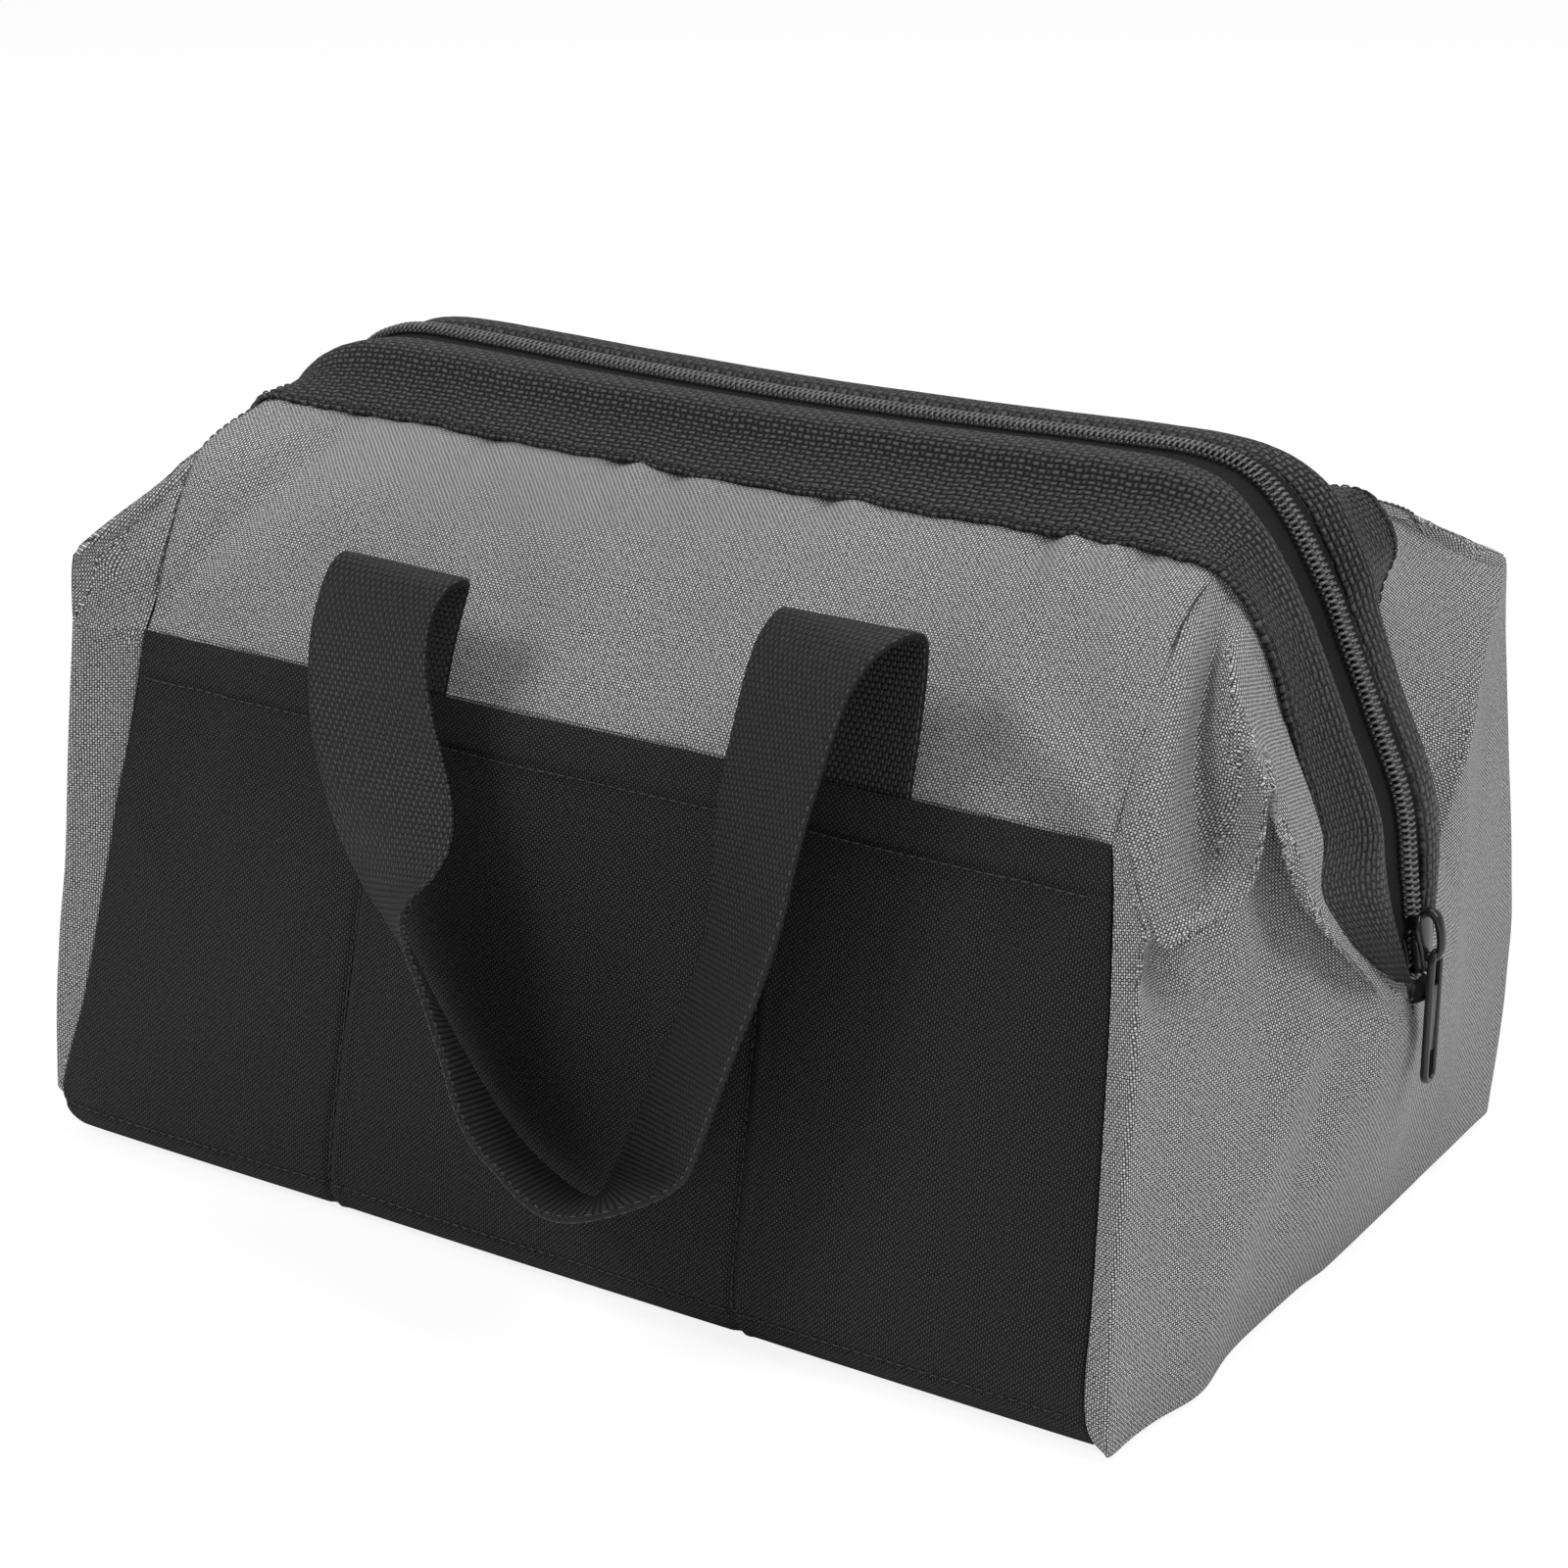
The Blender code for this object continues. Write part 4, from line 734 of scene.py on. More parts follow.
end_folds = ((-68, 134, -42, 76, 17, -10.5), (-84, 112, -62, 128, 12, -6.5), (-74, 0, -66, 62, 15, 3.4),
             (-44, 78, -72, 14, 8, 1.6), (-32, 76, -56, 6, 7, -1.6), (-14, 74, -34, 10, 8, 0.9),
             (14, 72, 36, 12, 10, -1.4), (40, 78, 66, 4, 11, 1.6), (0, 4, 60, 10, 9, 1.0),
             (96, 60, 60, 20, 10, 1.0), (84, 120, 66, 90, 6, -0.9))
right_end_grid = end_panel(PLAIN_SEAM, SLUMPED_CREASE, PLAIN_SEAM, STANDING_CREASE, end_folds)
left_end_grid = end_panel(PLAIN_SEAM, SLUMPED_CREASE, FLARED_SEAM, FLARED_CREASE, end_folds)
turned_under = left_end_grid[0] * TURN_UNDER
turned_under[:, 2] = WALL_FOOT
left_end_grid = np.concatenate([[left_end_grid[0] + (turned_under - left_end_grid[0]) * share
                                 for share in (1.0, 0.75, 0.5, 0.25)], left_end_grid])
right_end = fabric("right_end", turned_in(right_end_grid), grey_oxford)
left_blank = fabric("left_end_blank", turned_in(left_end_grid), grey_oxford)
left_end = turned(left_blank, "left_end", keep=False)
for end, node in ((right_end, "right_end_panel"), (left_end, "left_end_panel")):
    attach(end, "bag")
    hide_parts(node)

# Ears
# Above each end panel's edge the cloth is loose, so that the mouth can open, and stands out as an
# ear on both sides. The front right one has slumped outwards: it hangs over the panel as a hood
# with a lip, beside a soft roll that follows the webbing.

EAR_POINT = (156.0, -100.0, 161.0)
EAR_SAG = (-0.003, 0, -0.005)
MIDDLE_GAP, TUCK_GAP, TUCK_HEIGHT = 0.0004, 0.0028, 0.0785
RIDGE_SHARES = (0.16, 0.34, 0.48)
STANDING_PLACES = (5.0, 5.0, 5.08, 6.5, 8.0, 9.0, 9.75, 10.0, 10.3, 10.85, 11.0)
RIDGE_ON_SEAM = 0.80
EAR_ROWS_LOW, EAR_ROWS_HIGH = 14, 34
STRAIGHTNESS, EAR_FADE = 0.7, 2.2
LIP_FOOT = (0.0030, -0.0030, 0.0010)
EAR_COLUMNS = (len(STANDING_PLACES) - 1) * COLUMN_STEPS + 1
SLUMPED_PLACES = (5.0, 5.03, 5.1, 5.35, 5.75, 6.3, 7.6, 9.0, 9.8, 10.85, 11.0)
SEAM_START = 0.05
SLUMPED_SEAM_SHARES = (SEAM_START, 0.08, 0.11, 0.16, 0.27, 0.46, 0.76, 1.00)
SLUMPED_ROWS = {
    1: ((149, -91.5, 134), (149, -90.5, 137), (148.5, -89.5, 141), (149, -83, 153), (147, -72, 165), (144, -54, 178)),
    2: ((156, -93.5, 122.5), (155.6, -90.5, 123.5), (157.0, -93.0, 122.5), (155, -86, 140), (151, -74, 157),
        (146, -54, 174)),
    3: (None, (154.8, -77.2, 128.0), (164.5, -89.4, 122.4), (157, -73, 135), (150, -63, 155), (146, -48, 173)),
    4: (None, (158.0, -61.2, 138.5), (171.5, -76.4, 131.0), (163, -68, 144), (157, -63, 159), (150, -50, 174)),
    5: (None, (160.5, -54.0, 155.0), (172.0, -69.4, 152.0), (163, -62, 161), (158.5, -57.5, 167), (152, -46, 175)),
    6: (None, (161.0, -44.5, 140), (166.5, -55, 138.5), (166, -53, 148), (162.5, -47, 153), (158, -38, 158)),
    7: (None, (167, -37, 121), (168, -46, 120), (170, -46, 126), (169, -41, 130), (168, -33, 131)),
    8: (None, (169, -33, 113), (171, -40, 111), (172, -41, 113), (172, -39, 113), (171, -35, 114)),
}


def along_side(side, shares):
    """Points at shares of a seam's length."""
    length = travelled(side)
    return read_at(np.asarray(shares) * length[-1], length, side)


def ear_top(places, end):
    """Where an ear's cloth goes in under the webbing; its last point goes round the foot. End is 1 for
    the right end of the mouth and -1 for the left, which is given as if it were on the right."""
    top = band_at(np.array(places) * end, UNDER_EDGE, UNDER_LIFT)
    top[-1] = band_at(np.array(places[-1:]) * end, 0.1, UNDER_LIFT)[0]
    return top * (end, 1, 1)


def standing_ear(rim, side):
    """Outer face of an ear that stands: up from the end panel to a ridge, then back to the webbing."""
    point = np.array(EAR_POINT) / 1000
    hinge = np.array((HINGE_REACH, 0, HINGE_HEIGHT))
    top = ear_top(STANDING_PLACES, -1)
    on_seam = along_side(side, [RIDGE_ON_SEAM])[0] + (SEAM_GAP, 0, 0)
    ridge = [on_seam, (on_seam + point) / 2, point] + [point + (hinge - point) * share for share in RIDGE_SHARES]
    ridge += [(low + high) / 2 for low, high in zip(rim[::COLUMN_STEPS][len(ridge):], top[len(ridge):])]
    straight = read_at(np.linspace(0, len(ridge) - 1, EAR_COLUMNS), np.arange(len(ridge)), np.array(ridge))
    ridge = straight * STRAIGHTNESS + smooth_run(ridge, COLUMN_STEPS) * (1 - STRAIGHTNESS)
    top = smooth_run(top, COLUMN_STEPS)
    lower, upper = np.linspace(0, 1, EAR_ROWS_LOW), np.linspace(0, 1, EAR_ROWS_HIGH)[1:]
    sag = np.sin(upper * math.pi)[:, None] * np.clip(np.arange(EAR_COLUMNS) / COLUMN_STEPS - 1, 0, 2) / 2
    grid = np.concatenate([rim + (ridge - rim) * lower[:, None, None],
                           ridge + (top - ridge) * upper[:, None, None] + sag[..., None] * np.array(EAR_SAG)])
    shares = np.concatenate([lower * RIDGE_ON_SEAM, RIDGE_ON_SEAM + upper * (1 - RIDGE_ON_SEAM)])
    seam = along_side(side, SEAM_START + (1 - SEAM_START) * shares) + (SEAM_GAP, 0, 0)
    fade = np.clip(1 - np.arange(EAR_COLUMNS) / (EAR_FADE * COLUMN_STEPS), 0, 1)[None, :, None]
    started = np.clip(np.arange(len(grid)) / 4, 0, 1)[:, None, None]
    return grid + (seam - grid[:, 0])[:, None] * fade * started


def slumped_ear(rim, side):
    """Outer face of an ear that has slumped: from the end panel out to its lip and up to the webbing."""
    top = ear_top(SLUMPED_PLACES, 1)
    controls = np.zeros((8, len(SLUMPED_PLACES), 3))
    controls[:, 0] = along_side(side, SLUMPED_SEAM_SHARES) + (SEAM_GAP, 0, 0)
    for column in range(1, len(SLUMPED_PLACES)):
        foot = rim[column * COLUMN_STEPS]
        if column in SLUMPED_ROWS:
            rows = [None if row is None else np.array(row) / 1000 for row in SLUMPED_ROWS[column]]
            if rows[0] is None:
                rows[0] = (foot + rows[1]) / 2 - LIP_FOOT
        else:
            rows = [foot + (top[column] - foot) * share for share in (0.15, 0.3, 0.45, 0.6, 0.75, 0.9)]
        controls[:, column] = np.array([foot] + rows + [top[column]])
    grid = smooth_net(controls, 8)
    grid[0] = rim
    return grid


mirror_x, mirror_y = Matrix.Scale(-1, 4, Vector((1, 0, 0))), Matrix.Scale(-1, 4, Vector((0, 1, 0)))
rims = {"right_front": right_end_grid[-1][:EAR_COLUMNS],
        "right_back": right_end_grid[-1][::-1][:EAR_COLUMNS] * across_back,
        "left_back": left_end_grid[-1][:EAR_COLUMNS],
        "left_front": left_end_grid[-1][::-1][:EAR_COLUMNS] * across_back}
flared_side = left_side * (-1, 1, 1)
ear_folds = ((-70, 130, -95, 158, 6, -1.0), (-40, 120, -80, 150, 9, 1.2), (-90, 150, -60, 175, 8, 0.8))
ears = {}
for corner, rim in rims.items():
    slumped = corner in ("right_front", "left_back")
    grid = slumped_ear(rim, right_side) if slumped else standing_ear(rim, flared_side)
    if not slumped:
        folded = creases(grid[..., 1], grid[..., 2], ear_folds)[..., None]
        grid = grid + outward(grid) * folded * np.sin(np.linspace(0, 1, len(grid)) * math.pi)[:, None, None]
    gap = MIDDLE_GAP + TUCK_GAP * np.clip((grid[..., 2] - TUCK_HEIGHT) / 0.005, 0, 1)
    grid[..., 1] = np.minimum(grid[..., 1], -gap)
    blank = fabric(corner + "_blank", grid, grey_oxford)
    matrix = {"right_front": Matrix(), "left_back": HALF_TURN, "left_front": mirror_x, "right_back": mirror_y}[corner]
    ears[corner + "_ear"] = turned(blank, corner + "_ear_cloth", matrix, keep=False)
for node, ear in ears.items():
    side = 1 if "front" in node else -1
    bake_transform(ear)
    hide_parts(node)

# Zip
# Size 5 nylon coil sewn to two black woven tapes, each tape tucked under its side's webbing. The
# coil's loops lock together along the middle of the mouth.

TAPE_STEPS = 16
TAPE_TOP = -0.0023
TAPE_OVERLAP = 0.0008
TOOTH_PITCH = 0.00160
TOOTH_RADIUS = 0.00040
LOOP_START, LOOP_REACH, LOOP_HEIGHT = 0.0016, 0.0017, 0.0010
COIL_IN_SLIDER = 0.003
SIDE_GUIDE = (0.31, 0.87, 0.38)
# Painted light and shade in the weave: 262626 is the painted highlight on the threads' tops, 080808 the painted shade
# in the gaps.
zip_tape_cloth = woven("black_zip_tape", "262626", "080808", 0.00045, 0.00008, 0.75, gloss=0.2)
tape_run = mouth_run(TAPE_STEPS)
inner_edge = np.where(to_end(len(tape_run["centre"])) < TAPE_STEPS, 0.0023, 0.0006)
TAPE_PROFILE = ((0.0, 0.0), (0.12, 0.0002), (0.3, -0.0001), (0.6, -0.0004), (0.85, -0.0003), (1.0, 0.0),
                (1.0, -0.0008), (0.85, -0.0011), (0.6, -0.0012), (0.3, -0.0009), (0.12, -0.0006), (0.0, -0.0008))
travel = travelled(tape_run["centre"])
sections, mapped = [], []
for share, lift in TAPE_PROFILE:
    off = inner_edge + (tape_run["reach"] + TAPE_OVERLAP - inner_edge) * share
    raised = tape_run["rise"] * (1 - share)
    sections.append(tape_run["centre"] + off * (0, -1, 0) + tape_run["out"] * (TAPE_TOP + lift + raised))
    mapped.append(np.stack([travel, off[:, 0]], -1))
front_tape = tube("front_zip_tape_cloth", sections, mapped, zip_tape_cloth)
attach(front_tape, "front_mouth")
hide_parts("front_zip_tape")
back_tape = turned(front_tape, "back_zip_tape_cloth")
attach(back_tape, "back_mouth")
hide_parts("back_zip_tape")
coil_nylon = satin("black_nylon_coil", "727272", "303030", (0.208, 0.325), 300.0)


def along_line(name, points, along, face, shape, material):
    """Copies of one small shape at points of a path, each turned to the path and to the surface's
    face, made by a node tree and kept as a plain mesh."""
    mesh = bpy.data.meshes.new(name)
    mesh.from_pydata([tuple(p) for p in points], [], [])
    for key, values in (("along", along), ("face", face)):
        layer = mesh.attributes.new(key, "FLOAT_VECTOR", "POINT")
        layer.data.foreach_set("vector", np.asarray(values, np.float32).ravel())
    made = placed(name, mesh)
    tree = bpy.data.node_groups.new("set_along_" + name, "GeometryNodeTree")
    sockets = [tree.interface.new_socket(label, in_out=way, socket_type="NodeSocket" + kind) for label, way, kind in
               (("Places", "INPUT", "Geometry"), ("Shape", "INPUT", "Object"), ("Finish", "INPUT", "Material"),
                ("Row", "OUTPUT", "Geometry"))]
    source = tree.nodes.new("NodeGroupInput")
    result = tree.nodes.new("NodeGroupOutput")
    run_along, run_face = (add_node(tree, "GeometryNodeInputNamedAttribute", {"data_type": "FLOAT_VECTOR", "Name": key})
                           for key in ("along", "face"))
    first = add_node(tree, "FunctionNodeAlignRotationToVector", {"axis": "X"}, {"Vector": run_along})
    second = add_node(tree, "FunctionNodeAlignRotationToVector", {"axis": "Z", "pivot_axis": "X"},
                      {"Rotation": first, "Vector": run_face})
    piece = add_node(tree, "GeometryNodeObjectInfo", {}, {"Object": source.outputs["Shape"]})
    copies = add_node(tree, "GeometryNodeInstanceOnPoints", {}, {"Points": source.outputs["Places"], "Rotation": second,
                                                                 "Instance": piece.outputs["Geometry"]})
    real = add_node(tree, "GeometryNodeRealizeInstances", {}, {"Geometry": copies})
    done = add_node(tree, "GeometryNodeSetMaterial", {}, {"Geometry": real, "Material": source.outputs["Finish"]})
    tree.links.new(done.outputs[0], result.inputs["Row"])
    modifier = made.modifiers.new("row", "NODES")
    modifier.node_group = tree
    modifier[sockets[1].identifier] = shape
    modifier[sockets[2].identifier] = material
    bpy.context.view_layer.update()
    plain_mesh = bpy.data.meshes.new_from_object(made.evaluated_get(bpy.context.evaluated_depsgraph_get()))
    made.modifiers.clear()
    made.data = plain_mesh
    plain_mesh.polygons.foreach_set("use_smooth", np.ones(len(plain_mesh.polygons), bool))
    return made


def small_tube(name, line, radius, sides):
    """Bent round bar along a short line, with closed ends, used as the shape of a stitch or a tooth."""
    along = unit(np.gradient(line, axis=0))
    side = unit(np.cross(along, SIDE_GUIDE))
    other = np.cross(along, side)
    angles = np.arange(sides) * 2 * math.pi / sides
    radii = np.broadcast_to(radius, len(line))[:, None, None]
    points, faces = loft(line[:, None] + radii * (side[:, None] * np.cos(angles)[:, None]
                                                  + other[:, None] * np.sin(angles)[:, None]))
    mesh = bpy.data.meshes.new(name)
    mesh.from_pydata(points.tolist(), [], faces)
    return bpy.data.objects.new(name, mesh)


def spaced(line, step, start, stop):
    """Places every step along a line of points, with the way along it. Columns after the third, such as
    the surface's face, come along."""
    length = travelled(line[:, :3])
    marks = np.arange(start, length[-1] - stop, step)
    ahead, behind = (read_at(marks + way * step / 4, length, line[:, :3]) for way in (1, -1))
    return read_at(marks, length, line), unit(ahead - behind)


turn = np.linspace(0, 2 * math.pi, 9)
tooth_line = np.stack([(turn / math.pi - 1) * TOOTH_PITCH / 4, -LOOP_START - LOOP_REACH * np.cos(turn),
                       (np.sin(turn) - 1) * LOOP_HEIGHT], -1)
tooth = small_tube("zip_tooth", tooth_line, TOOTH_RADIUS, 5)
slider_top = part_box("zip_slider")[1][2]
zip_line = (tape_run["centre"] + tape_run["out"] * tape_run["rise"])[3:]
zip_line = zip_line[(zip_line[:, 0] < 0) | (zip_line[:, 2] > slider_top - COIL_IN_SLIDER)]
tooth_points, tooth_along = spaced(zip_line, TOOTH_PITCH, 0, TOOTH_PITCH / 2)
tooth_face = np.stack([-tooth_along[:, 2], 0 * tooth_along[:, 1], tooth_along[:, 0]], -1)
front_teeth = along_line("front_zip_teeth", tooth_points, tooth_along, tooth_face, tooth, coil_nylon)
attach(front_teeth, "front_mouth")
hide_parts("front_zip_coil")
back_teeth = turned(front_teeth, "back_zip_teeth")
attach(back_teeth, "back_mouth")
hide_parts("back_zip_coil")

# Stitches
# Black polyester thread in even lockstitches: a row on the pockets' hem and foot and on each pocket
# seam, one along the webbing's lower edge, short tacks across it and a few on each side seam.

STITCH_PITCH, SEAM_PITCH = 0.0030, 0.0027
HEM_STITCHES, BASE_STITCHES = 0.1275, 0.0088
BAND_ROW, BAND_ROW_END, THREAD_LIFT = 0.93, 10.8, 0.0004
BAR_TACKS = (-5.12, -4.96, 4.96, 5.12)
thread_black = satin("black_polyester_thread", "3a3a3a", "101010", (0.48, 0.75), 900.0)
stitch_run = np.linspace(-1, 1, 7)
stitch_line = np.stack([stitch_run * 0.00118, 0 * stitch_run, 0.00022 - 0.0004 * stitch_run ** 4], -1)
stitch = small_tube("lockstitch", stitch_line, 0.00024 - 0.0001 * stitch_run ** 4, 5)


def stitched(name, lines, pitch=STITCH_PITCH):
    """Stitches along lines whose rows are place and face."""
    rows = [spaced(line, pitch, pitch / 2, pitch / 2) for line in lines]
    points = np.concatenate([points for points, along in rows])
    return along_line(name, points[:, :3], np.concatenate([along for points, along in rows]), points[:, 3:], stitch,
                      thread_black)


def pocket_lines(grid):
    """Hem, foot and seam lines on a pocket panel's outer face."""
    both = np.concatenate([grid, outward(grid)], 2)
    both[..., :3] += both[..., 3:] * 0.00005
    lines = [both[np.argmin(abs(grid[:, 0, 2] - height)), 2:-2] for height in (HEM_STITCHES, BASE_STITCHES)]
    for low, high in POCKET_SEAMS:
        lines.append(np.array([read_at((low + (high - low) * row[0, 2] / POCKET_HEIGHT) / 1000, row[:, 0], row)
                               for row in both[8:136]]))
    return lines


front_pocket_stitches = stitched("front_pocket_stitches", pocket_lines(front_pocket_grid))
back_pocket_blank = stitched("back_pocket_stitches_blank", pocket_lines(back_pocket_grid))
back_pocket_stitches = turned(back_pocket_blank, "back_pocket_stitches", keep=False)
for row in (front_pocket_stitches, back_pocket_stitches):
    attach(row, "bag")


def on_band(places, shares):
    """A line just above the webbing's face: rows of place and face."""
    face = read_at(places, run["place"], run["face"])
    return np.concatenate([band_at(places, np.broadcast_to(shares, places.shape)[:, None], THREAD_LIFT), face], 1)


band_lines = [on_band(np.linspace(-BAND_ROW_END, BAND_ROW_END, 500), BAND_ROW)]
for where in BAR_TACKS:
    band_lines.append(on_band(np.linspace(where - 0.10, where + 0.10, 20), np.linspace(0.22, 0.88, 20)))
front_band_stitches = stitched("front_webbing_stitches", band_lines)
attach(front_band_stitches, "front_mouth")
back_band_stitches = turned(front_band_stitches, "back_webbing_stitches")
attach(back_band_stitches, "back_mouth")
seam_lines = []
for seam, way, low in ((left_side, -1, 0.1475), (right_side, 1, 0.1765)):
    upper = seam[np.searchsorted(seam[:, 2], low):-3]
    face = np.array((0.55 * way, -0.5, 0.65))
    seam_lines.append(np.concatenate([upper + face * 0.0003, np.tile(face, (len(upper), 1))], 1))
front_seam_stitches = stitched("front_side_seam_stitches", seam_lines, SEAM_PITCH)
back_seam_stitches = turned(front_seam_stitches, "back_side_seam_stitches")
for row, mouth, side in ((front_seam_stitches, "front_mouth", 1), (back_seam_stitches, "back_mouth", -1)):
    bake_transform(row)

# Zip ends, slider and pull
# The tapes' ends are rolled and bar-tacked below each foot of the mouth. The slider and its pull
# are die-cast zinc with black paint, a little glossy at the edges.

black_paint = satin("black_painted_zinc", "202020", "0b0b0b", (0.224, 0.35), 220.0)
ZIP_END_SIZE = (0.0056, 0.0060)
ZIP_END_FOOT = (0.1806, 0.0, 0.0792)
beside, upward = np.meshgrid(np.linspace(-1, 1, 25), np.linspace(-1, 1, 29))
rolled = np.sqrt(np.clip(1 - beside ** 4, 0, 1) * np.clip(1 - upward ** 6, 0, 1))
ridges = 0.00028 * np.cos((upward + 0.1 * beside) * math.pi * 3)
zip_end_grid = np.stack([ZIP_END_FOOT[0] + 0.0004 + rolled * (0.0021 + ridges), ZIP_END_SIZE[0] / 2 * beside,
                         ZIP_END_FOOT[2] + ZIP_END_SIZE[1] / 2 * (1 + upward)], -1)
right_tuck = fabric("right_zip_tuck", zip_end_grid, zip_tape_cloth)
left_tuck = turned(right_tuck, "left_zip_tuck")
for tuck, node in ((right_tuck, "right_zip_end"), (left_tuck, "left_zip_end")):
    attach(tuck, "bag")
    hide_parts(node)
UP_ZIP = np.array((-0.16979, 0, 0.98548))
OFF_ZIP = np.array((0.98548, 0, 0.16979))
SLIDER_CENTRE = np.array((0.1798, 0, 0.0945))
BESIDE = np.array((0, 1.0, 0))


def by_slider(off, beside, up):
    """Place in metres of a point given in millimetres off the coil, beside it and up along it."""
    off, beside, up = np.broadcast_arrays(off, beside, up)
    return SLIDER_CENTRE + (off[..., None] * OFF_ZIP + beside[..., None] * BESIDE + up[..., None] * UP_ZIP) / 1000


def bent_bar(line, plane, wide, thick, closed=False):
    """Bar with rounded edges along a line that lies in a plane: its width is square to the plane."""
    along = unit(np.roll(line, -1, axis=0) - np.roll(line, 1, axis=0) if closed else np.gradient(line, axis=0))
    inward = np.cross(along, plane)
    angles = np.arange(16) * math.pi / 8
    rounded = [np.sign(wave(angles)) * np.abs(wave(angles)) ** 0.6 for wave in (np.cos, np.sin)]
    rings = line[:, None] + rounded[0][:, None] * plane * wide + rounded[1][:, None] * inward[:, None] * thick
    return loft(rings, closed)


def plate(outline, low, high, edge):
    """Plate with rounded edges. The outline is (up, beside) in millimetres, going round once."""
    along = unit(np.roll(outline, -1, axis=0) - np.roll(outline, 1, axis=0))
    out = np.stack([along[:, 1], -along[:, 0]], -1)
    rings = []
    for off, inset in ((low, edge), (low + edge * 0.3, edge * 0.3), (low + edge, 0), (high - edge, 0),
                       (high - edge * 0.3, edge * 0.3), (high, edge)):
        ring = outline - out * inset
        rings.append(by_slider(off, ring[:, 1], ring[:, 0]))
    return loft(rings)


def joined(name, parts, material):
    """One piece of several closed skins."""
    points, faces = [], []
    for part_points, part_faces in parts:
        faces += [[corner + len(points) for corner in face] for face in part_faces]
        points += part_points.tolist()
    mesh = smooth_mesh(name, np.array(points), faces, material)
    solid = bmesh.new()
    solid.from_mesh(mesh)
    bmesh.ops.recalc_face_normals(solid, faces=solid.faces)
    solid.to_mesh(mesh)
    solid.free()
    return placed(name, mesh)


def slider_half_width(up):
    """Half of the slider's width in millimetres: narrow at its foot, wide where the two coils enter."""
    t = np.clip((up + 2.5) / 6.5, 0, 1)
    return 2.9 + 1.5 * t * t * (3 - 2 * t)


SLIDER_HALF, PLATE_EDGE = 6.9, 0.35
UPPER_PLATE, LOWER_PLATE, POST = (1.3, 2.6), (-3.5, -2.3), (-2.4, 1.5)
turn = np.arange(48) * math.pi / 24
up = SLIDER_HALF * np.sign(np.cos(turn)) * np.abs(np.cos(turn)) ** 0.55
body_outline = np.stack([up, slider_half_width(up) * np.sign(np.sin(turn)) * np.abs(np.sin(turn)) ** 0.55], -1)
post_outline = np.stack([4.4 + 1.9 * np.cos(turn), 1.15 * np.sin(turn)], -1)
flange_up = np.linspace(-6.3, 1.2, 12)
parts = [plate(body_outline, *UPPER_PLATE, PLATE_EDGE), plate(body_outline, *LOWER_PLATE, PLATE_EDGE),
         plate(post_outline, *POST, 0.1)]
for way in (-1, 1):
    beside = way * (slider_half_width(flange_up) - 0.42)
    for off, half_depth in ((0.55, 0.00105), (-2.2, 0.00055)):
        parts.append(bent_bar(by_slider(off, beside, flange_up), OFF_ZIP, half_depth, 0.00042))
CROWN = ((2.2, 6.6), (3.4, 7.3), (4.9, 7.0), (6.0, 5.4), (6.4, 3.0), (6.4, 0.6), (6.0, -1.9), (4.9, -3.6),
         (3.5, -4.2), (2.2, -3.9))
CROWN_HALF = (0.00150, 0.00100)
crown_run = smooth_run(CROWN, 5)
parts.append(bent_bar(by_slider(crown_run[:, 0], 0.0, crown_run[:, 1]), BESIDE, *CROWN_HALF))
slider_piece = joined("slider_body", parts, black_paint)
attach(slider_piece, "slider")
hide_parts("zip_slider")

PULL_TOP = by_slider(4.55, 0.0, -2.75)
PULL_HALF, PULL_LENGTH = 0.00245, 0.0335
PULL_BAR = (0.00095, 0.00078)
WEB_TOP, WEB_FOOT = -0.0085, -0.0255
half_turn = np.linspace(0, math.pi, 13)
loop_y = np.concatenate([PULL_HALF * np.cos(half_turn), -PULL_HALF * np.cos(half_turn)])
loop_z = np.concatenate([PULL_HALF * (np.sin(half_turn) - 1), -PULL_LENGTH + PULL_HALF * (1 - np.sin(half_turn))])
pull_loop = PULL_TOP + np.stack([0 * loop_y, loop_y, loop_z], -1)
parts = [bent_bar(pull_loop, np.array((1.0, 0, 0)), *PULL_BAR, closed=True)]
web_rings = []
for off, inset in ((-0.0005, 0.0002), (-0.0003, 0), (0.0003, 0), (0.0005, 0.0002)):
    wide, high, low = PULL_HALF - inset, WEB_TOP - inset, WEB_FOOT + inset
    web_rings.append(PULL_TOP + np.array(((off, -wide, low), (off, wide, low), (off, wide, high), (off, -wide, high))))
parts.append(loft(web_rings))
pull_piece = joined("pull_tab", parts, black_paint)
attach(pull_piece, "pull")
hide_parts("zip_pull")

# Handles
# 38 mm black polypropylene webbing. Each end is sewn behind the pockets' hem, stands up, folds over
# and the loop hangs down in front with a twist from how it was packed.

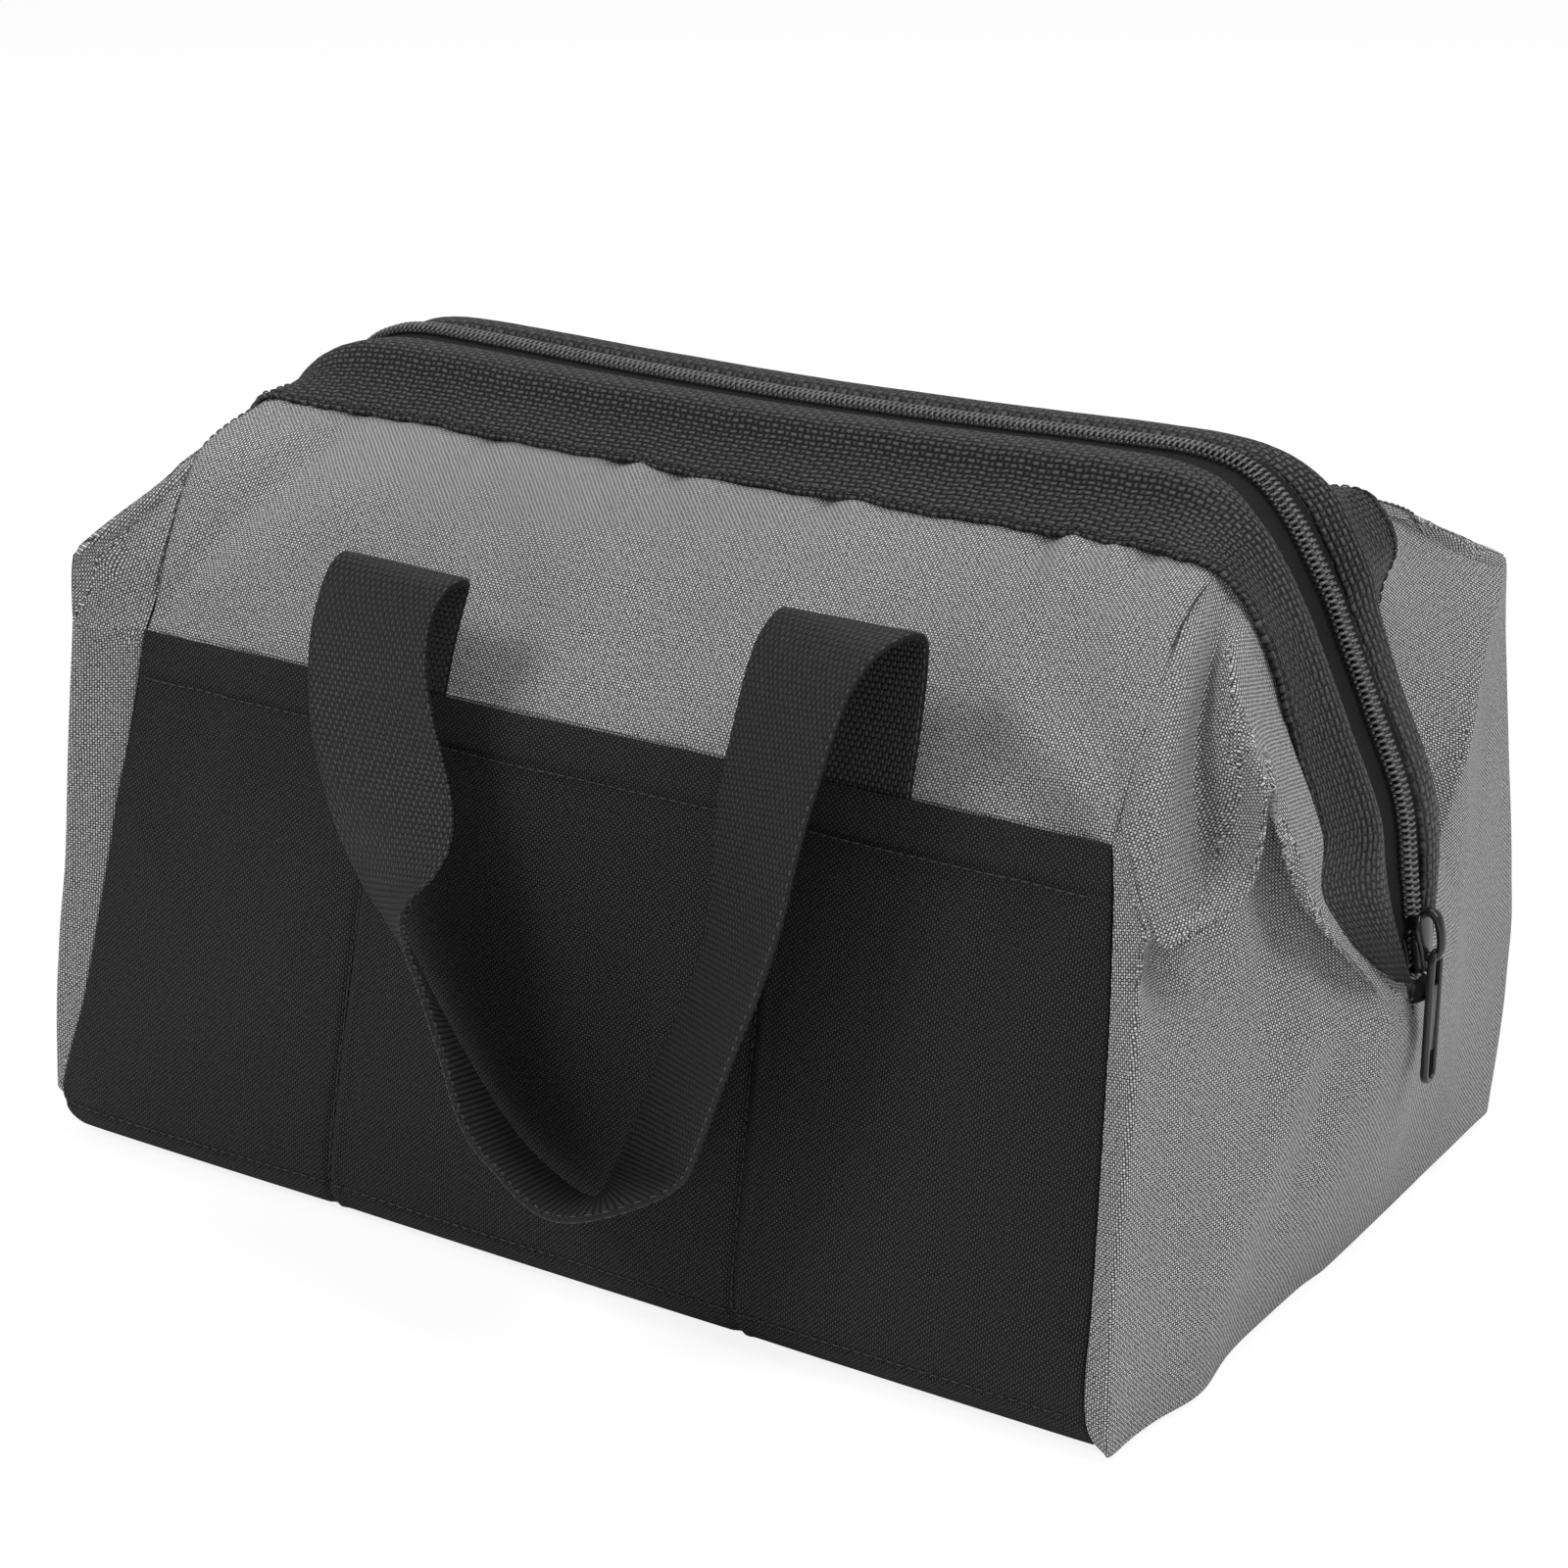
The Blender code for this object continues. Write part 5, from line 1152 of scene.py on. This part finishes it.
WEBBING_WIDTH = 0.038
WEBBING_THICKNESS = 0.0018
STRAP_THREAD = 0.00085
THREADS_EACH_SIDE, DARK_CROSSING = 22, 0.35
# Painted light and shade in the weave: 424242 is the painted highlight on the threads' tops, 030303 the painted shade
# in the gaps.
handle_webbing = woven("black_polypropylene_webbing", "424242", "030303", STRAP_THREAD, 0.0005, 0.5,
                       gloss=0.35, length=0.4, spread=0.55, under=0.45, stretch=1.7)
STRAP_EDGES = (
    (-84.4, -87.8, 134, -46.4, -87.8, 134), (-82.3, -87.8, 140, -44.4, -87.8, 140),
    (-79.3, -87, 154, -41.3, -87, 154), (-76.4, -86, 166, -38.4, -85.7, 165.5),
    (-74.5, -87.6, 170.9, -36.6, -86.6, 169.6), (-72.9, -91.8, 172.4, -34.9, -90.4, 171.2),
    (-73.6, -95.4, 169.4, -35.6, -95.8, 170.5), (-74.8, -98, 163, -36.9, -99.8, 165.5),
    (-75, -100.6, 156.4, -37.3, -102.2, 159.2), (-73.7, -104, 149.6, -35.8, -105, 151.7),
    (-70.8, -108, 142.1, -32.8, -107, 142.3), (-66.3, -112.5, 131.9, -28.5, -108.5, 131.5),
    (-61.4, -114.9, 120.6, -23.6, -111.9, 122.2), (-58, -114.6, 110.1, -20.6, -117.1, 114.6),
    (-55, -112.4, 100.1, -20, -124.6, 108.6), (-52.2, -110.1, 92.6, -22, -129.9, 105),
    (-48.2, -108.8, 86.5, -22.8, -133.8, 100.4), (-41.5, -108.7, 78.3, -19.6, -136.3, 93.7),
    (-34.1, -110, 68.8, -14.3, -138, 85.2), (-24.7, -110.9, 57.1, -6.2, -141.1, 71.2),
    (-15.1, -112, 46.6, 0.1, -144, 60.3), (-8.3, -113.1, 40.8, 6.2, -145.9, 53.6),
    (-0.8, -114.2, 36, 13.5, -146.8, 49), (6.5, -114.4, 32.2, 20.5, -147.6, 44.6),
    (13, -114.5, 29.6, 28, -147.5, 41.7), (18.2, -114.5, 29.2, 35.2, -145.6, 41.7),
    (21.6, -114.9, 32.2, 44.6, -141.4, 44.6), (24.3, -115, 37.6, 53.7, -136.3, 49),
    (26.7, -114.5, 43.8, 58.6, -134.1, 53.2), (29.8, -113.1, 52.3, 61.5, -132.9, 60.4),
    (33.3, -111.3, 62.6, 64.5, -131.7, 70.2), (36.7, -109.5, 72.7, 67.5, -130.5, 79.6),
    (40.1, -107.6, 82.5, 70.6, -129.4, 89), (43.5, -106.3, 92.9, 74.1, -127.7, 99.4),
    (45.5, -105.1, 102.4, 76.7, -125.9, 108.8), (46.2, -103.6, 112, 78.2, -123, 118.1),
    (46, -102.3, 121.6, 78.9, -119.7, 128), (46.1, -100.8, 131.6, 79.9, -116.2, 138.6),
    (47.2, -99.2, 142.6, 81.8, -112.8, 149.8), (48.9, -97.2, 154.2, 84, -110, 160.8),
    (50.8, -95.2, 165.3, 86.1, -107, 169.9), (53, -92.8, 174, 89.4, -102, 177.2),
    (55.2, -88.9, 178.8, 92.6, -93.8, 180.2), (55.4, -85.4, 176.6, 93.2, -86.4, 178),
    (54.8, -85, 168, 92.8, -85, 170), (53.8, -86.4, 154, 91.7, -86.2, 155),
    (52.6, -87.8, 141, 90.6, -87.8, 141), (52.2, -87.8, 134, 90.2, -87.8, 134),
)
strap = smooth_run(np.array(STRAP_EDGES) / 1000, 8)
place = (strap[:, :3] + strap[:, 3:]) / 2
across = unit(strap[:, 3:] - strap[:, :3])
face = unit(np.cross(unit(np.gradient(place, axis=0)), across))
travel = travelled(place)
edge_profile = [(s, 1.0) for s in np.linspace(-0.97, 0.97, 17)] + [(1.0, 0.5), (1.0, -0.5)]
edge_profile += [(s, -1.0) for s in np.linspace(0.97, -0.97, 17)] + [(-1.0, -0.5), (-1.0, 0.5)]
sections, mapped = [], []
for side, level in edge_profile:
    sections.append(place + across * WEBBING_WIDTH / 2 * side + face * WEBBING_THICKNESS / 2 * level)
    over = (side * THREADS_EACH_SIDE - DARK_CROSSING) * STRAP_THREAD
    mapped.append(np.stack([travel, np.full(len(travel), over)], -1))
front_strap = tube("front_handle_strap", sections, mapped, handle_webbing)
back_strap = turned(front_strap, "back_handle_strap")
for strap_piece, end, side in ((front_strap, "front", 1), (back_strap, "back", -1)):
    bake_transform(strap_piece)
    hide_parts(end + "_handle", end + "_left_fold", end + "_right_fold", end + "_left_riser",
                end + "_right_riser")
